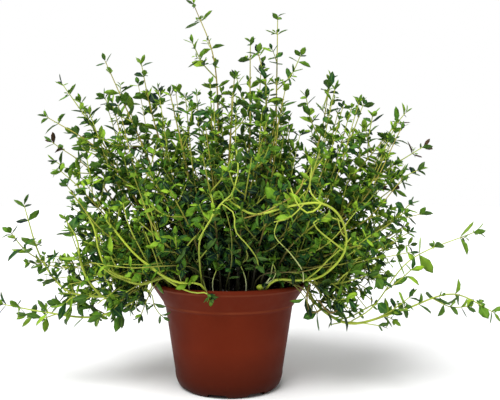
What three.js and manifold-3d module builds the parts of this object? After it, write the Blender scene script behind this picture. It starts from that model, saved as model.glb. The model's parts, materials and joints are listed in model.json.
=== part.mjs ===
// Potted thyme: a bushy, wiry herb in a small terracotta-coloured plastic pot.
// Millimetres, +Z up. The origin is on the surface that the pot stands on, under the pot's middle.
// +X is the plant's right and +Y its back, as it is seen from the front.
import * as THREE from 'three';
import { mergeVertices } from 'three/addons/utils/BufferGeometryUtils.js';
import Module from 'manifold-3d';

const wasm = await Module();
wasm.setup();

// Pot
const POT_HEIGHT = 81;
const RIM_RADIUS = 60;
const RIM_LIP = 2.4;
const RIDGE_RADIUS = 50.3;
const RIDGE_HEIGHT = 64;
const BODY_TOP_RADIUS = 48.4;
const BODY_LOW_RADIUS = 41;
const FOOT_RADIUS = 35.5;
const FOOT_ROUNDING = 12;
const WALL = 1.6;
const FLOOR_TOP = 5;
const POT_SEGMENTS = 32;

// Drainage under the pot: shallow channels that open at the foot, with a hole in the roof of each
const CHANNEL_COUNT = 8;
const CHANNEL_WIDTH = 15;
const CHANNEL_HEIGHT = 3;
const CHANNEL_START = 26;
const CHANNEL_END = 46;
const CHANNEL_TURN = -13;
const DRAIN_RADIUS = 3;
const DRAIN_CENTRE = 31;
const DRAIN_SIDES = 8;

// Soil
const SOIL_LEVEL = 74;
const SOIL_MOUND = 1.5;
const SOIL_GAP = 0.45;
const SOIL_SEGMENTS = 32;
const HOLE_GAP = 0.5;

// Stems
const ROOT_DEPTH = 9;
const STEM_SIDES = 4;
const SHOOT_SIDES = 3;
const FOOT_THICKNESS = 1.35;
const TIP_THICKNESS = 0.65;
const SHOOT_THICKNESS = 0.8;
const RING_SPACING = 34;
const TIGHT_RING_SPACING = 12;
const LOW_START = 95;
const SHOOT_STARTS = [0.5, 0.74];
const SHOOT_LENGTH = 30;
const SHOOT_LEAN = 38;
const SHOOT_BOW = 0.2;
const SHOOT_RISE = 0.12;
const SHOOT_BARE_SHARE = 0.4;
const SHOOT_PAIR_SPACING = 18;
const SHOOT_TRIES = 6;
const STEM_CLEARANCE = 0.35;

// Leaves
const LEAF_LENGTH = 10.5;
const LEAF_WIDTH = 0.46;
const LEAF_THICKNESS = 1.2;
const LEAF_WIDEST = 0.42;
const LEAF_ROOT = 0.3;
const LEAF_LIFT = 52;
const TIP_LIFT = 26;
const PAIR_SPACING = 30;
const TIP_PAIR_SIZE = 0.8;
const LEAF_SIZES = [0.85, 1.2];
const LEAF_TWISTS = [0, 0.5, -0.5];
const BARE_SHARE = 0.36;
const RIM_CLEARANCE = 1.5;

// Stems that stand out of the crown or trail over the rim, each from its foot to its tip.
// The first two numbers are the foot on the soil, then come points on the way as [x, y, z].
const LEADING_STEMS = [
  ['crown_tall_left', -9, -5, [-8, -5, 180], [-12, -5, 252], [-27, -5, 292]],
  ['crown_tall_right', 19, 3, [35, 4, 145], [37, 5, 222], [38, 5, 285]],
  ['crown_back', 4, 9, [15, 12, 150], [17, 15, 267]],
  ['crown_centre', 7, -8, [23, -13, 155], [28, -14, 222], [22, -15, 253]],
  ['crown_front', -1, -18, [-1, -22, 150], [4, -25, 234]],
  ['crown_front_right', 15, -15, [27, -18, 150], [42, -20, 226]],
  ['crown_front_left', -16, -16, [-28, -24, 150], [-43, -30, 221]],
  ['left_tall_inner', -20, 5, [-46, 8, 160], [-62, 10, 215], [-69, 10, 249]],
  ['left_tall_outer', -25, -7, [-58, -9, 165], [-78, -10, 212], [-94, -10, 248]],
  ['left_long', -33, 2, [-76, 1, 150], [-104, 0, 196], [-129, 0, 232]],
  ['left_arching', -34, -9, [-72, -12, 145], [-99, -14, 181], [-137, -15, 205]],
  ['left_wide', -42, 7, [-84, 7, 130], [-108, 6, 165], [-138, 5, 187]],
  ['left_low', -44, -4, [-84, -13, 120], [-112, -18, 152], [-126, -20, 165]],
  ['right_tall', 27, -5, [55, -8, 148], [69, -10, 190], [77, -10, 234]],
  ['right_inner', 31, 5, [66, 5, 145], [90, 5, 180], [105, 5, 217]],
  ['right_long', 36, -4, [78, -5, 138], [113, -5, 182], [135, -5, 209]],
  ['right_wide', 38, -13, [78, -14, 125], [112, -13, 160], [147, -12, 183]],
  ['right_back', 43, 5, [49, 5, 88], [88, 7, 117], [117, 8, 142], [137, 8, 157]],
  ['right_low', 45, -6, [52, -7, 89], [86, -9, 105], [122, -10, 125], [146, -10, 132]],
  ['right_lowest', 45, 12, [52, 12, 88], [68, 12, 94], [98, 4, 98], [122, -3, 86]],
  ['left_lowest', -45, 12, [-52, 12, 88], [-70, 14, 96], [-98, 9, 100], [-120, 5, 89]],
  ['trail_left_low', -42, -13, [-56, -19, 87], [-67, -22, 71], [-99, -20, 56], [-138, -22, 60],
    [-166, -25, 66]],
  ['trail_left_forked', -36, -23, [-50, -31, 87], [-66, -36, 78], [-93, -33, 73], [-119, -28, 77],
    [-139, -21, 99], [-154, -15, 139]],
  ['trail_left_arc', -28, -33, [-43, -43, 88], [-63, -47, 84], [-80, -47, 92], [-88, -45, 110],
    [-101, -44, 133]],
  ['trail_right_forked', 38, -24, [52, -31, 87], [62, -36, 69], [86, -34, 54], [123, -28, 61],
    [166, -22, 73], [197, -20, 59]],
  ['trail_right_short', 33, -32, [42, -40, 88], [54, -44, 86], [76, -44, 84], [101, -38, 90]],
  ['runner_left', -11, -44, [-20, -54, 85], [-37, -55, 87], [-61, -58, 103], [-84, -60, 130]],
  ['runner_loop', 19, -40, [31, -51, 87], [50, -48, 87], [64, -51, 90], [79, -61, 109],
    [74, -75, 132], [60, -84, 142], [38, -86, 140], [16, -85, 135], [0, -84, 144]],
];

// Long forks of the trailing stems, each starting at a point that lies on its stem.
const FORKS = {
  trail_left_forked: [[-93, -33, 73], [-101, -35, 84], [-107, -36, 101], [-118, -35, 131]],
  trail_right_forked: [[86, -34, 54], [103, -34, 65], [131, -32, 99], [180, -30, 120]],
};

// The rest of the crown: fans of stems from front to back, each spreading from left to right.
const FANS = [
  { name: 'front', count: 6, foot: [24, -36], tip: [63, -96], height: 168, drop: 36 },
  { name: 'fore', count: 6, foot: [27, -27], tip: [102, -60], height: 206, drop: 84 },
  { name: 'rear', count: 7, foot: [34, 19], tip: [112, 44], height: 222, drop: 98 },
  { name: 'back', count: 6, foot: [31, 28], tip: [92, 80], height: 198, drop: 82 },
  { name: 'far_back', count: 5, foot: [22, 38], tip: [66, 108], height: 158, drop: 46 },
];
const TIP_SCATTER = [12, 12, 19];
const FOOT_BULGE = 0.12;
const TIP_BULGE = 0.2;
const MIDWAY_REACH = 0.4;
const MIDWAY_RISE = 0.55;

// Colours and roughness
const POT_PLASTIC = { color: 0x6b2d17, roughness: 0.42, metalness: 0 };
const SOIL_CRUMBS = { color: 0x14110f, roughness: 0.95, metalness: 0 };
const THYME_GREENS = [0x2f5a22, 0x3c6b28, 0x4c7a2c, 0x27481f];
const THYME_ROUGHNESS = 0.6;

// A geometry with shared corners and no slivers, as one solid.
function solid(geometry) {
  geometry.deleteAttribute('normal');
  geometry.deleteAttribute('uv');
  const shared = mergeVertices(geometry);
  const corners = shared.index.array;
  const triangles = [];
  for (let i = 0; i < corners.length; i += 3) {
    const [a, b, c] = corners.slice(i, i + 3);
    if (a !== b && b !== c && c !== a) {
      triangles.push(a, b, c);
    }
  }
  return new wasm.Manifold(new wasm.Mesh({
    numProp: 3,
    vertProperties: new Float32Array(shared.attributes.position.array),
    triVerts: new Uint32Array(triangles),
  }));
}

// Solids fused into one body: a pocket that the joining seals is filled, and a loose scrap goes.
function fused(bodies) {
  const pieces = wasm.Manifold.union(bodies).decompose();
  return pieces.reduce((largest, piece) => (piece.volume() > largest.volume() ? piece : largest));
}

// A solid as a named mesh with its own material.
function part(name, body, finish) {
  const { vertProperties, triVerts } = body.getMesh();
  const geometry = new THREE.BufferGeometry();
  geometry.setAttribute('position', new THREE.BufferAttribute(vertProperties, 3));
  geometry.setIndex(new THREE.BufferAttribute(triVerts, 1));
  geometry.computeVertexNormals();
  const mesh = new THREE.Mesh(geometry, new THREE.MeshStandardMaterial(finish));
  mesh.name = name;
  return mesh;
}

// A profile of [radius, height] pairs turned about the upright axis.
function turned(profile, segments) {
  const points = profile.map(([radius, height]) => new THREE.Vector2(radius, height));
  return solid(new THREE.LatheGeometry(points, segments).rotateX(Math.PI / 2));
}

// The pot's inner wall, from the floor to the rim.
function potInside() {
  return [
    [FOOT_RADIUS, FLOOR_TOP],
    [BODY_LOW_RADIUS - WALL, FOOT_ROUNDING],
    [BODY_TOP_RADIUS - WALL, RIDGE_HEIGHT - 1.8],
    [RIDGE_RADIUS - WALL, RIDGE_HEIGHT + 1],
    [RIM_RADIUS - RIM_LIP - 0.8, POT_HEIGHT - 3.4],
    [RIM_RADIUS - RIM_LIP, POT_HEIGHT],
  ];
}

function makePot() {
  const outside = [[0, 0]];
  const roundingSteps = 3;
  for (let i = 0; i <= roundingSteps; i += 1) {
    const turn = (Math.PI / 2) * (i / roundingSteps);
    const radius = FOOT_RADIUS + (BODY_LOW_RADIUS - FOOT_RADIUS) * Math.sin(turn);
    outside.push([radius, FOOT_ROUNDING * (1 - Math.cos(turn))]);
  }
  outside.push([BODY_TOP_RADIUS, RIDGE_HEIGHT - 2.2]);
  outside.push([RIDGE_RADIUS, RIDGE_HEIGHT - 0.6]);
  outside.push([RIDGE_RADIUS, RIDGE_HEIGHT + 0.6]);
  outside.push([RIM_RADIUS - 1.2, POT_HEIGHT - 3.6]);
  outside.push([RIM_RADIUS, POT_HEIGHT - 2.6]);
  outside.push([RIM_RADIUS, POT_HEIGHT - 0.7]);
  outside.push([RIM_RADIUS - 0.7, POT_HEIGHT]);
  const inside = potInside().reverse();
  let pot = turned([...outside, ...inside, [0, FLOOR_TOP]], POT_SEGMENTS);
  for (let i = 0; i < CHANNEL_COUNT; i += 1) {
    const turn = THREE.MathUtils.degToRad(CHANNEL_TURN - 90 + (360 / CHANNEL_COUNT) * i);
    const length = CHANNEL_END - CHANNEL_START;
    const channel = new THREE.BoxGeometry(length, CHANNEL_WIDTH, 2 * CHANNEL_HEIGHT);
    channel.translate(CHANNEL_START + length / 2, 0, 0).rotateZ(turn);
    const drain = new THREE.CylinderGeometry(DRAIN_RADIUS, DRAIN_RADIUS, 4 * FLOOR_TOP, DRAIN_SIDES);
    drain.rotateX(Math.PI / 2).translate(DRAIN_CENTRE, 0, 0).rotateZ(turn);
    pot = pot.subtract(solid(channel)).subtract(solid(drain));
  }
  return pot;
}

// Soil as it fills the pot, a little mounded, with a plain hole for each stem.
function makeSoil(holes) {
  const inside = potInside();
  const profile = [[0, FLOOR_TOP + SOIL_GAP]];
  profile.push([inside[0][0] - SOIL_GAP, FLOOR_TOP + SOIL_GAP]);
  for (const [radius, height] of inside.slice(1, 4)) {
    profile.push([radius - SOIL_GAP, height]);
  }
  const [low, high] = inside.slice(3, 5);
  const share = (SOIL_LEVEL - low[1]) / (high[1] - low[1]);
  profile.push([THREE.MathUtils.lerp(low[0], high[0], share) - SOIL_GAP, SOIL_LEVEL]);
  profile.push([RIM_RADIUS / 2, SOIL_LEVEL + SOIL_MOUND]);
  profile.push([0, SOIL_LEVEL + SOIL_MOUND]);
  return turned(profile, SOIL_SEGMENTS).subtract(wasm.Manifold.union(holes));
}

function curveThrough(points) {
  return new THREE.CatmullRomCurve3(points.map((point) => new THREE.Vector3(...point)));
}

// The run of a stem from its rooted end in the soil to its tip.
function stemCurve([, footX, footY, ...way]) {
  return curveThrough([[footX, footY, SOIL_LEVEL - ROOT_DEPTH], ...way]);
}

// A stem that passes low over the rim bends more tightly, so it is built in shorter steps.
function ringSpacing([, , , firstPoint]) {
  return firstPoint[2] < LOW_START ? TIGHT_RING_SPACING : RING_SPACING;
}

// One fan as a list of stems like the leading ones: nearly upright at first, then leaning out.
function fanStems(fan, fanIndex) {
  const stems = [];
  for (let i = 0; i < fan.count; i += 1) {
    const across = (2 * i) / (fan.count - 1) - 1;
    const scatter = TIP_SCATTER.map((spread, axis) => {
      const draw = THREE.MathUtils.seededRandom(1000 * fanIndex + 10 * i + axis);
      return spread * (draw - 0.5);
    });
    const foot = [fan.foot[0] * across, fan.foot[1] * (1 - FOOT_BULGE * across * across)];
    const tip = [
      fan.tip[0] * across + scatter[0],
      fan.tip[1] * (1 - TIP_BULGE * across * across) + scatter[1],
      fan.height - fan.drop * across * across + scatter[2],
    ];
    const midway = [
      THREE.MathUtils.lerp(foot[0], tip[0], MIDWAY_REACH),
      THREE.MathUtils.lerp(foot[1], tip[1], MIDWAY_REACH),
      THREE.MathUtils.lerp(SOIL_LEVEL, tip[2], MIDWAY_RISE),
    ];
    stems.push([`${fan.name}_${i + 1}`, ...foot, midway, tip]);
  }
  return stems;
}

// A tapering stem along a curve, with flat sides. With a gap it is the room that the stem needs.
function stemTube(curve, sides, spacing, footThickness, tipThickness, gap = 0) {
  const steps = Math.max(1, Math.round(curve.getLength() / spacing));
  const section = new THREE.Shape();
  for (let i = 0; i < sides; i += 1) {
    const turn = (2 * Math.PI * (i + 0.5)) / sides;
    const corner = [Math.cos(turn), Math.sin(turn)];
    if (i === 0) {
      section.moveTo(...corner);
    } else {
      section.lineTo(...corner);
    }
  }
  const run = { steps, bevelEnabled: false, extrudePath: curve };
  const geometry = new THREE.ExtrudeGeometry(section, run);
  const rings = curve.getSpacedPoints(steps);
  const corners = geometry.attributes.position;
  const corner = new THREE.Vector3();
  const back = rings[0].clone().sub(rings[1]).normalize();
  for (let i = 0; i < corners.count; i += 1) {
    corner.fromBufferAttribute(corners, i);
    const distances = rings.map((ring) => ring.distanceToSquared(corner));
    const nearest = distances.indexOf(Math.min(...distances));
    const thickness = THREE.MathUtils.lerp(footThickness, tipThickness, nearest / steps) + gap;
    corner.sub(rings[nearest]).multiplyScalar(thickness).add(rings[nearest]);
    corner.addScaledVector(back, nearest === 0 ? gap : 0);
    corners.setXYZ(i, ...corner);
  }
  return { body: solid(geometry), rings };
}

// A thin, pointed leaf blade from its root along a direction. It is a flattened tetrahedron: one edge
// is the midrib from root to tip, and the opposite edge spans the blade where it is widest.
function leafBlade(root, direction, normal, length) {
  const blade = new THREE.TetrahedronGeometry(Math.sqrt(3)).rotateZ(Math.PI / 4);
  const corners = blade.attributes.position;
  for (let i = 0; i < corners.count; i += 1) {
    const onMidrib = Math.abs(corners.getY(i)) < 0.5;
    const at = onMidrib ? (corners.getX(i) > 0 ? length : 0) : LEAF_WIDEST * length;
    const side = Math.sign(corners.getY(i)) * (onMidrib ? 0 : (length * LEAF_WIDTH) / 2);
    corners.setXYZ(i, at - LEAF_ROOT, (corners.getZ(i) * LEAF_THICKNESS) / 2, -side);
  }
  const side = new THREE.Vector3().crossVectors(direction, normal);
  blade.applyMatrix4(new THREE.Matrix4().makeBasis(direction, normal, side));
  blade.translate(...root);
  return solid(blade);
}

// What already stands where: thin capsules, each owned by one stem.
const taken = [];

function isClear(owner, start, end, radius) {
  const line = new THREE.Line3(start, end);
  for (const point of [start, end]) {
    const low = point.z - radius < POT_HEIGHT + RIM_CLEARANCE;
    if (low && Math.hypot(point.x, point.y) < RIM_RADIUS + radius + RIM_CLEARANCE) {
      return false;
    }
  }
  return taken.every((other) => {
    const reach = radius + other.radius + STEM_CLEARANCE;
    return other.owner === owner || line.distanceSqToLine3(other.line) > reach * reach;
  });
}

function take(owner, start, end, radius) {
  taken.push({ owner, line: new THREE.Line3(start.clone(), end.clone()), radius });
}

function takeRings(owner, rings, radius) {
  for (let i = 1; i < rings.length; i += 1) {
    take(owner, rings[i - 1], rings[i], radius);
  }
}

// A direction across a stem, turned about it.
function acrossStem(along, turn) {
  const level = Math.abs(along.z) < 0.95 ? new THREE.Vector3(0, 0, 1) : new THREE.Vector3(0, 1, 0);
  const across = level.addScaledVector(along, -level.dot(along)).normalize();
  return across.applyAxisAngle(along, turn);
}

// Leaves in opposite pairs, each pair a quarter turn from the last, thinning out near the foot.
function pairLeaves(owner, curve, bareShare, spacing, phase) {
  const length = curve.getLength();
  const leaves = [];
  const pairs = Math.max(1, Math.floor((length * (1 - bareShare)) / spacing));
  for (let pair = 0; pair < pairs; pair += 1) {
    const at = 1 - (pair * spacing + 0.6) / length;
    const root = curve.getPointAt(at);
    const along = curve.getTangentAt(at);
    const lift = THREE.MathUtils.degToRad(pair === 0 ? TIP_LIFT : LEAF_LIFT);
    for (const half of [0, 1]) {
      const draw = THREE.MathUtils.seededRandom(7919 * phase + 31 * pair + half);
      const size = pair === 0 ? TIP_PAIR_SIZE : THREE.MathUtils.lerp(...LEAF_SIZES, draw);
      const leafLength = LEAF_LENGTH * size;
      const radius = (LEAF_WIDTH * leafLength) / 2;
      for (const twist of LEAF_TWISTS) {
        const turn = phase + (pair * Math.PI) / 2 + half * Math.PI + twist;
        const direction = acrossStem(along, turn).multiplyScalar(Math.sin(lift));
        direction.addScaledVector(along, Math.cos(lift)).normalize();
        const side = new THREE.Vector3().crossVectors(direction, along);
        const normal = side.cross(direction).normalize();
        const inner = root.clone().addScaledVector(direction, 0.22 * leafLength);
        const outer = root.clone().addScaledVector(direction, 0.8 * leafLength);
        if (isClear(owner, inner, outer, radius)) {
          take(owner, inner, outer, radius);
          leaves.push(leafBlade(root, direction, normal, leafLength));
          break;
        }
      }
    }
  }
  return leaves;
}

// A side shoot that leaves its stem upward and outward, where there is room for it.
function shootCurve(owner, curve, start, phase) {
  const from = curve.getPointAt(start);
  const along = curve.getTangentAt(start);
  const lean = THREE.MathUtils.degToRad(SHOOT_LEAN);
  const forward = SHOOT_LENGTH * Math.cos(lean);
  const outward = SHOOT_LENGTH * Math.sin(lean);
  for (let attempt = 0; attempt < SHOOT_TRIES; attempt += 1) {
    const across = acrossStem(along, phase + (attempt * 2 * Math.PI) / SHOOT_TRIES);
    const middle = from.clone().addScaledVector(along, forward / 2);
    middle.addScaledVector(across, outward * (0.5 + SHOOT_BOW / 2));
    const tip = from.clone().addScaledVector(along, forward).addScaledVector(across, outward);
    tip.z += SHOOT_RISE * SHOOT_LENGTH;
    const clearHalves = [
      isClear(owner, from.clone().lerp(middle, 0.2), middle, SHOOT_THICKNESS),
      isClear(owner, middle, tip, SHOOT_THICKNESS),
    ];
    if (clearHalves.every(Boolean)) {
      return new THREE.CatmullRomCurve3([from, middle, tip]);
    }
  }
  return null;
}

const plant = new THREE.Group();
const stems = [...LEADING_STEMS];
FANS.forEach((fan, index) => stems.push(...fanStems(fan, index + 1)));

// Main stems and forks first, so that shoots and leaves then keep clear of all of them.
const growing = stems.map((stem) => {
  const [name] = stem;
  const curve = stemCurve(stem);
  const main = stemTube(curve, STEM_SIDES, ringSpacing(stem), FOOT_THICKNESS, TIP_THICKNESS);
  takeRings(name, main.rings, FOOT_THICKNESS);
  const curves = [curve];
  const bodies = [main.body];
  if (FORKS[name]) {
    const fork = curveThrough(FORKS[name]);
    const tube = stemTube(fork, STEM_SIDES, RING_SPACING, SHOOT_THICKNESS, TIP_THICKNESS);
    takeRings(name, tube.rings, SHOOT_THICKNESS);
    curves.push(fork);
    bodies.push(tube.body);
  }
  return { name, curves, bodies };
});

// Then the side shoots, then all leaves.
growing.forEach((stem, index) => {
  stem.shoots = [];
  SHOOT_STARTS.forEach((start, which) => {
    const shoot = shootCurve(stem.name, stem.curves[0], start, 2.4 * index + 2.1 * which);
    if (shoot) {
      const tube = stemTube(shoot, SHOOT_SIDES, RING_SPACING, SHOOT_THICKNESS, TIP_THICKNESS);
      takeRings(stem.name, tube.rings, SHOOT_THICKNESS);
      stem.shoots.push(shoot);
      stem.bodies.push(tube.body);
    }
  });
});
growing.forEach((stem, index) => {
  const { name, curves, shoots, bodies } = stem;
  curves.forEach((curve, which) => {
    bodies.push(...pairLeaves(name, curve, BARE_SHARE, PAIR_SPACING, index + 60 * which));
  });
  shoots.forEach((shoot, which) => {
    const phase = index + 90 + 9 * which;
    bodies.push(...pairLeaves(name, shoot, SHOOT_BARE_SHARE, SHOOT_PAIR_SPACING, phase));
  });
});

const holes = stems.map((stem) => {
  const sizes = [ringSpacing(stem), FOOT_THICKNESS, TIP_THICKNESS, HOLE_GAP];
  return stemTube(stemCurve(stem), STEM_SIDES, ...sizes).body;
});

plant.add(part('pot', makePot(), POT_PLASTIC));
plant.add(part('soil', makeSoil(holes), SOIL_CRUMBS));
growing.forEach((stem, index) => {
  const finish = { color: THYME_GREENS[index % THYME_GREENS.length], roughness: THYME_ROUGHNESS };
  plant.add(part(`stem_${stem.name}`, fused(stem.bodies), finish));
});

export default plant;
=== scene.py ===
import bmesh
import bpy
import json
import math
from bisect import bisect_right
from mathutils import Matrix, Quaternion, Vector, noise

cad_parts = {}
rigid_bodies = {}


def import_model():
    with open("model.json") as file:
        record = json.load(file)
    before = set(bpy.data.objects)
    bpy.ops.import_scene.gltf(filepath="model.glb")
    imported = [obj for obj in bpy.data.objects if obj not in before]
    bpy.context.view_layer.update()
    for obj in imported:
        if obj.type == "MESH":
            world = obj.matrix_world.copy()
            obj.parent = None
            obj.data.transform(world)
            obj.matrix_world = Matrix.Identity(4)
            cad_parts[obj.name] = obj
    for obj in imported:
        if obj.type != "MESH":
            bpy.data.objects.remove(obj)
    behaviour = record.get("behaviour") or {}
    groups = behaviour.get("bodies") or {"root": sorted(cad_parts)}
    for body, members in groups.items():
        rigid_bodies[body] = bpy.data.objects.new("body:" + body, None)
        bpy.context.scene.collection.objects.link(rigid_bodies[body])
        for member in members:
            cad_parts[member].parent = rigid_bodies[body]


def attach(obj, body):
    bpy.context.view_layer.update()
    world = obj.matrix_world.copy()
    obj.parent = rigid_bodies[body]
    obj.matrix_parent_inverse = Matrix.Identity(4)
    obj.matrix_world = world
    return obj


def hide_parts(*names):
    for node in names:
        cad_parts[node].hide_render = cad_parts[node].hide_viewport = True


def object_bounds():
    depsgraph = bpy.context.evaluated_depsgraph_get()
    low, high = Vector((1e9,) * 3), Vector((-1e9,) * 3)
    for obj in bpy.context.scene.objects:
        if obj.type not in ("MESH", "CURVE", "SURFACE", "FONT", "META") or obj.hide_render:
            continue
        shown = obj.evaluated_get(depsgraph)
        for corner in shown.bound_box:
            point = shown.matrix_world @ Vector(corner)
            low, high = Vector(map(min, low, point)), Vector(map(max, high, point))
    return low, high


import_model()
cad_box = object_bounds()

# Studio: a plain white floor and an even white room, with one broad soft light high in front and two
# weaker ones. The camera stands just over half a metre in front of the pot, level with the plant's middle.
CAMERA_PLACE = (0.0, -0.520, 0.1556)
IMAGE_WIDTH = 500
IMAGE_HEIGHT = 400
FOCAL_PIXELS = 673
POT_AXIS_PIXEL = 229
HORIZON_PIXEL = 182.5
SENSOR_WIDTH = 36.0
NEAREST_SEEN = 0.01
FLOOR_RADIUS = 4.0
FLOOR_SEGMENTS = 96
FLOOR_TONES = ((0.0, (0.90, 0.90, 0.90)), (1.0, (0.93, 0.93, 0.93)))
WHITE = (1.0, 1.0, 1.0, 1.0)
ROOM_BRIGHTNESS = 0.31
LIGHTS = {
    "front_light": {"from": (-0.45, -0.85, 1.25), "strength": 3.8, "width": math.radians(38)},
    "right_light": {"from": (1.00, -0.45, 0.60), "strength": 0.5, "width": math.radians(60)},
    "back_light": {"from": (-0.30, 1.00, 0.90), "strength": 0.7, "width": math.radians(60)},
}


class Bench:
    """Adds nodes to a tree. A value is a number, a tuple, or the output of another node."""

    def __init__(self, tree):
        self.tree = tree

    def add(self, kind, values=None, **settings):
        node = self.tree.nodes.new(kind)
        for name, setting in settings.items():
            setattr(node, name, setting)
        for name, value in (values or {}).items():
            if isinstance(value, bpy.types.NodeSocket):
                self.tree.links.new(value, node.inputs[name])
            else:
                node.inputs[name].default_value = value
        return node

    def maths(self, operation, *values):
        return self.add("ShaderNodeMath", dict(enumerate(values)), operation=operation).outputs[0]

    def vector(self, operation, *values):
        node = self.add("ShaderNodeVectorMath", dict(enumerate(values)), operation=operation)
        return node.outputs["Value" if operation in ("DOT_PRODUCT", "LENGTH") else "Vector"]

    def scaled(self, vector, factor):
        node = self.add("ShaderNodeVectorMath", {0: vector, "Scale": factor}, operation="SCALE")
        return node.outputs["Vector"]

    def upright_part(self, vector):
        return self.add("ShaderNodeSeparateXYZ", {0: vector}).outputs["Z"]


class Finish(Bench):
    """A material with one Principled shader."""

    def __init__(self, name, **constants):
        self.material = bpy.data.materials.new(name)
        self.material.use_nodes = True
        super().__init__(self.material.node_tree)
        self.shader = self.tree.nodes["Principled BSDF"]
        for socket, value in constants.items():
            self.shader.inputs[socket.replace("_", " ")].default_value = value
        self.place = self.add("ShaderNodeTexCoord").outputs["Object"]

    def noise(self, scale, detail=3.0, roughness=0.55):
        values = {"Vector": self.place, "Scale": scale, "Detail": detail, "Roughness": roughness}
        return self.add("ShaderNodeTexNoise", values).outputs["Fac"]

    def attribute(self, name):
        return self.add("ShaderNodeAttribute", attribute_name=name).outputs["Fac"]

    def span(self, value, low, high, to_low=0.0, to_high=1.0):
        """A value turned from one range to another, and held at its ends."""
        return self.add("ShaderNodeMapRange", {0: value, 1: low, 2: high, 3: to_low, 4: to_high}).outputs[0]

    def patchy(self, scale, low, high, detail=3.0):
        """A value that wanders between low and high over the surface."""
        return self.span(self.noise(scale, detail), 0.3, 0.7, low, high)

    def distance_from(self, centre):
        return self.vector("LENGTH", self.vector("SUBTRACT", self.place, centre))

    def ramp(self, value, *stops):
        node = self.add("ShaderNodeValToRGB", {"Fac": value})
        elements = node.color_ramp.elements
        while len(elements) < len(stops):
            elements.new(0.5)
        for element, (at, colour) in zip(elements, stops):
            element.position = at
            element.color = (*colour, 1.0)
        return node.outputs["Color"]

    def mixed(self, factor, first, second):
        """The first colour, turned to the second by a factor."""
        node = self.add("ShaderNodeMix", {"Factor": factor, 7: (*second, 1.0)}, data_type="RGBA")
        self.tree.links.new(first, node.inputs[6])
        return node.outputs[2]

    def use(self, socket, value):
        self.tree.links.new(value, self.shader.inputs[socket])

    def bump(self, height, strength, distance, under=None):
        """Relief of a depth in metres, laid over another one where it is given."""
        values = {"Height": height, "Strength": strength, "Distance": distance}
        if under:
            values["Normal"] = under
        normal = self.add("ShaderNodeBump", values).outputs["Normal"]
        self.use("Normal", normal)
        return normal


def new_object(name, data):
    piece = bpy.data.objects.new(name, data)
    bpy.context.scene.collection.objects.link(piece)
    return piece


def mesh_of(shape, name):
    """The mesh of a finished bmesh, which is freed."""
    mesh = bpy.data.meshes.new(name)
    shape.to_mesh(mesh)
    shape.free()
    return mesh


floor_finish = Finish("white_floor", Roughness=0.85)
floor_finish.use("Base Color", floor_finish.ramp(floor_finish.noise(6.0), *FLOOR_TONES))
floor_shape = bmesh.new()
bmesh.ops.create_circle(floor_shape, cap_ends=True, segments=FLOOR_SEGMENTS, radius=FLOOR_RADIUS)
floor = new_object("floor", mesh_of(floor_shape, "floor"))
floor.data.materials.append(floor_finish.material)

room = bpy.data.worlds.new("white_room")
room.use_nodes = True
room_nodes = Bench(room.node_tree)
room_light = room.node_tree.nodes["Background"]
room_light.inputs["Color"].default_value = WHITE
room_light.inputs["Strength"].default_value = ROOM_BRIGHTNESS
backdrop = room_nodes.add("ShaderNodeBackground", {"Color": WHITE, "Strength": 1.0})
seen = room_nodes.add("ShaderNodeLightPath").outputs["Is Camera Ray"]
shown = {0: seen, 1: room_light.outputs[0], 2: backdrop.outputs[0]}
shown = room_nodes.add("ShaderNodeMixShader", shown).outputs[0]
room.node_tree.links.new(shown, room.node_tree.nodes["World Output"].inputs["Surface"])
bpy.context.scene.world = room
bpy.context.scene.view_settings.view_transform = "Standard"

for light_name, light in LIGHTS.items():
    light_data = bpy.data.lights.new(light_name, "SUN")
    light_data.energy = light["strength"]
    light_data.angle = light["width"]
    light_object = new_object(light_name, light_data)
    light_object.rotation_euler = Vector(light["from"]).to_track_quat("Z", "Y").to_euler()

camera_data = bpy.data.cameras.new("camera")
camera_data.sensor_width = SENSOR_WIDTH
camera_data.lens = SENSOR_WIDTH * FOCAL_PIXELS / IMAGE_WIDTH
camera_data.clip_start = NEAREST_SEEN
camera_data.shift_x = (IMAGE_WIDTH / 2 - POT_AXIS_PIXEL) / IMAGE_WIDTH
camera_data.shift_y = (HORIZON_PIXEL - IMAGE_HEIGHT / 2) / IMAGE_WIDTH
camera = new_object("camera", camera_data)
camera.location = CAMERA_PLACE
camera.rotation_euler = (math.pi / 2, 0.0, 0.0)
bpy.context.scene.camera = camera

# Pot: one thin shell of terracotta-coloured plastic, moulded with a flared collar over a small ridge,
# a tapered body and a rounded foot. Eight shallow channels with drainage holes run out under the foot.
POT_HEIGHT = 0.081
RIM_RADIUS = 0.060
RIM_LIP = 0.0024
LIP_UNDERSIDE = (0.0012, 0.0036)
LIP_FACE = 0.0026
LIP_CHAMFER = 0.0007
INNER_LIP = (0.0008, 0.0034)
RIDGE_RADIUS = 0.0503
RIDGE_HEIGHT = 0.064
RIDGE_EDGE = 0.0006
RIDGE_FALL = 0.0022
INNER_STEP = (0.0018, 0.001)
BODY_TOP_RADIUS = 0.0489
BODY_LOW_RADIUS = 0.0414
FOOT_RADIUS = 0.0346
FOOT_ROUNDING = 0.0132
WALL = 0.0016
FLOOR_TOP = 0.005
POT_SEGMENTS = 192
CORNER_RADIUS = 0.0009
CORNER_STEPS = 3
LARGEST_CORNER = 0.45
FOOT_STEPS = 8
CHANNEL_COUNT = 8
CHANNEL_WIDTH = 0.015
CHANNEL_HEIGHT = 0.003
CHANNEL_BEVEL = 0.0008
CHANNEL_START = 0.026
CHANNEL_END = 0.046
CHANNEL_TURN = math.radians(-13)
DRAIN_RADIUS = 0.003
DRAIN_CENTRE = 0.031
DRAIN_SEGMENTS = 20
SHARP_ANGLE = math.radians(38)
PLASTIC_TONES = ((0.25, (0.099, 0.0125, 0.0046)), (0.75, (0.118, 0.0160, 0.0058)))
# Painted shade: the colour the plastic is darkened towards at the foot.
FOOT_SHADE_COLOUR = (0.034, 0.0062, 0.0036)
DUST_COLOUR = (0.15, 0.050, 0.022)
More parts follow.
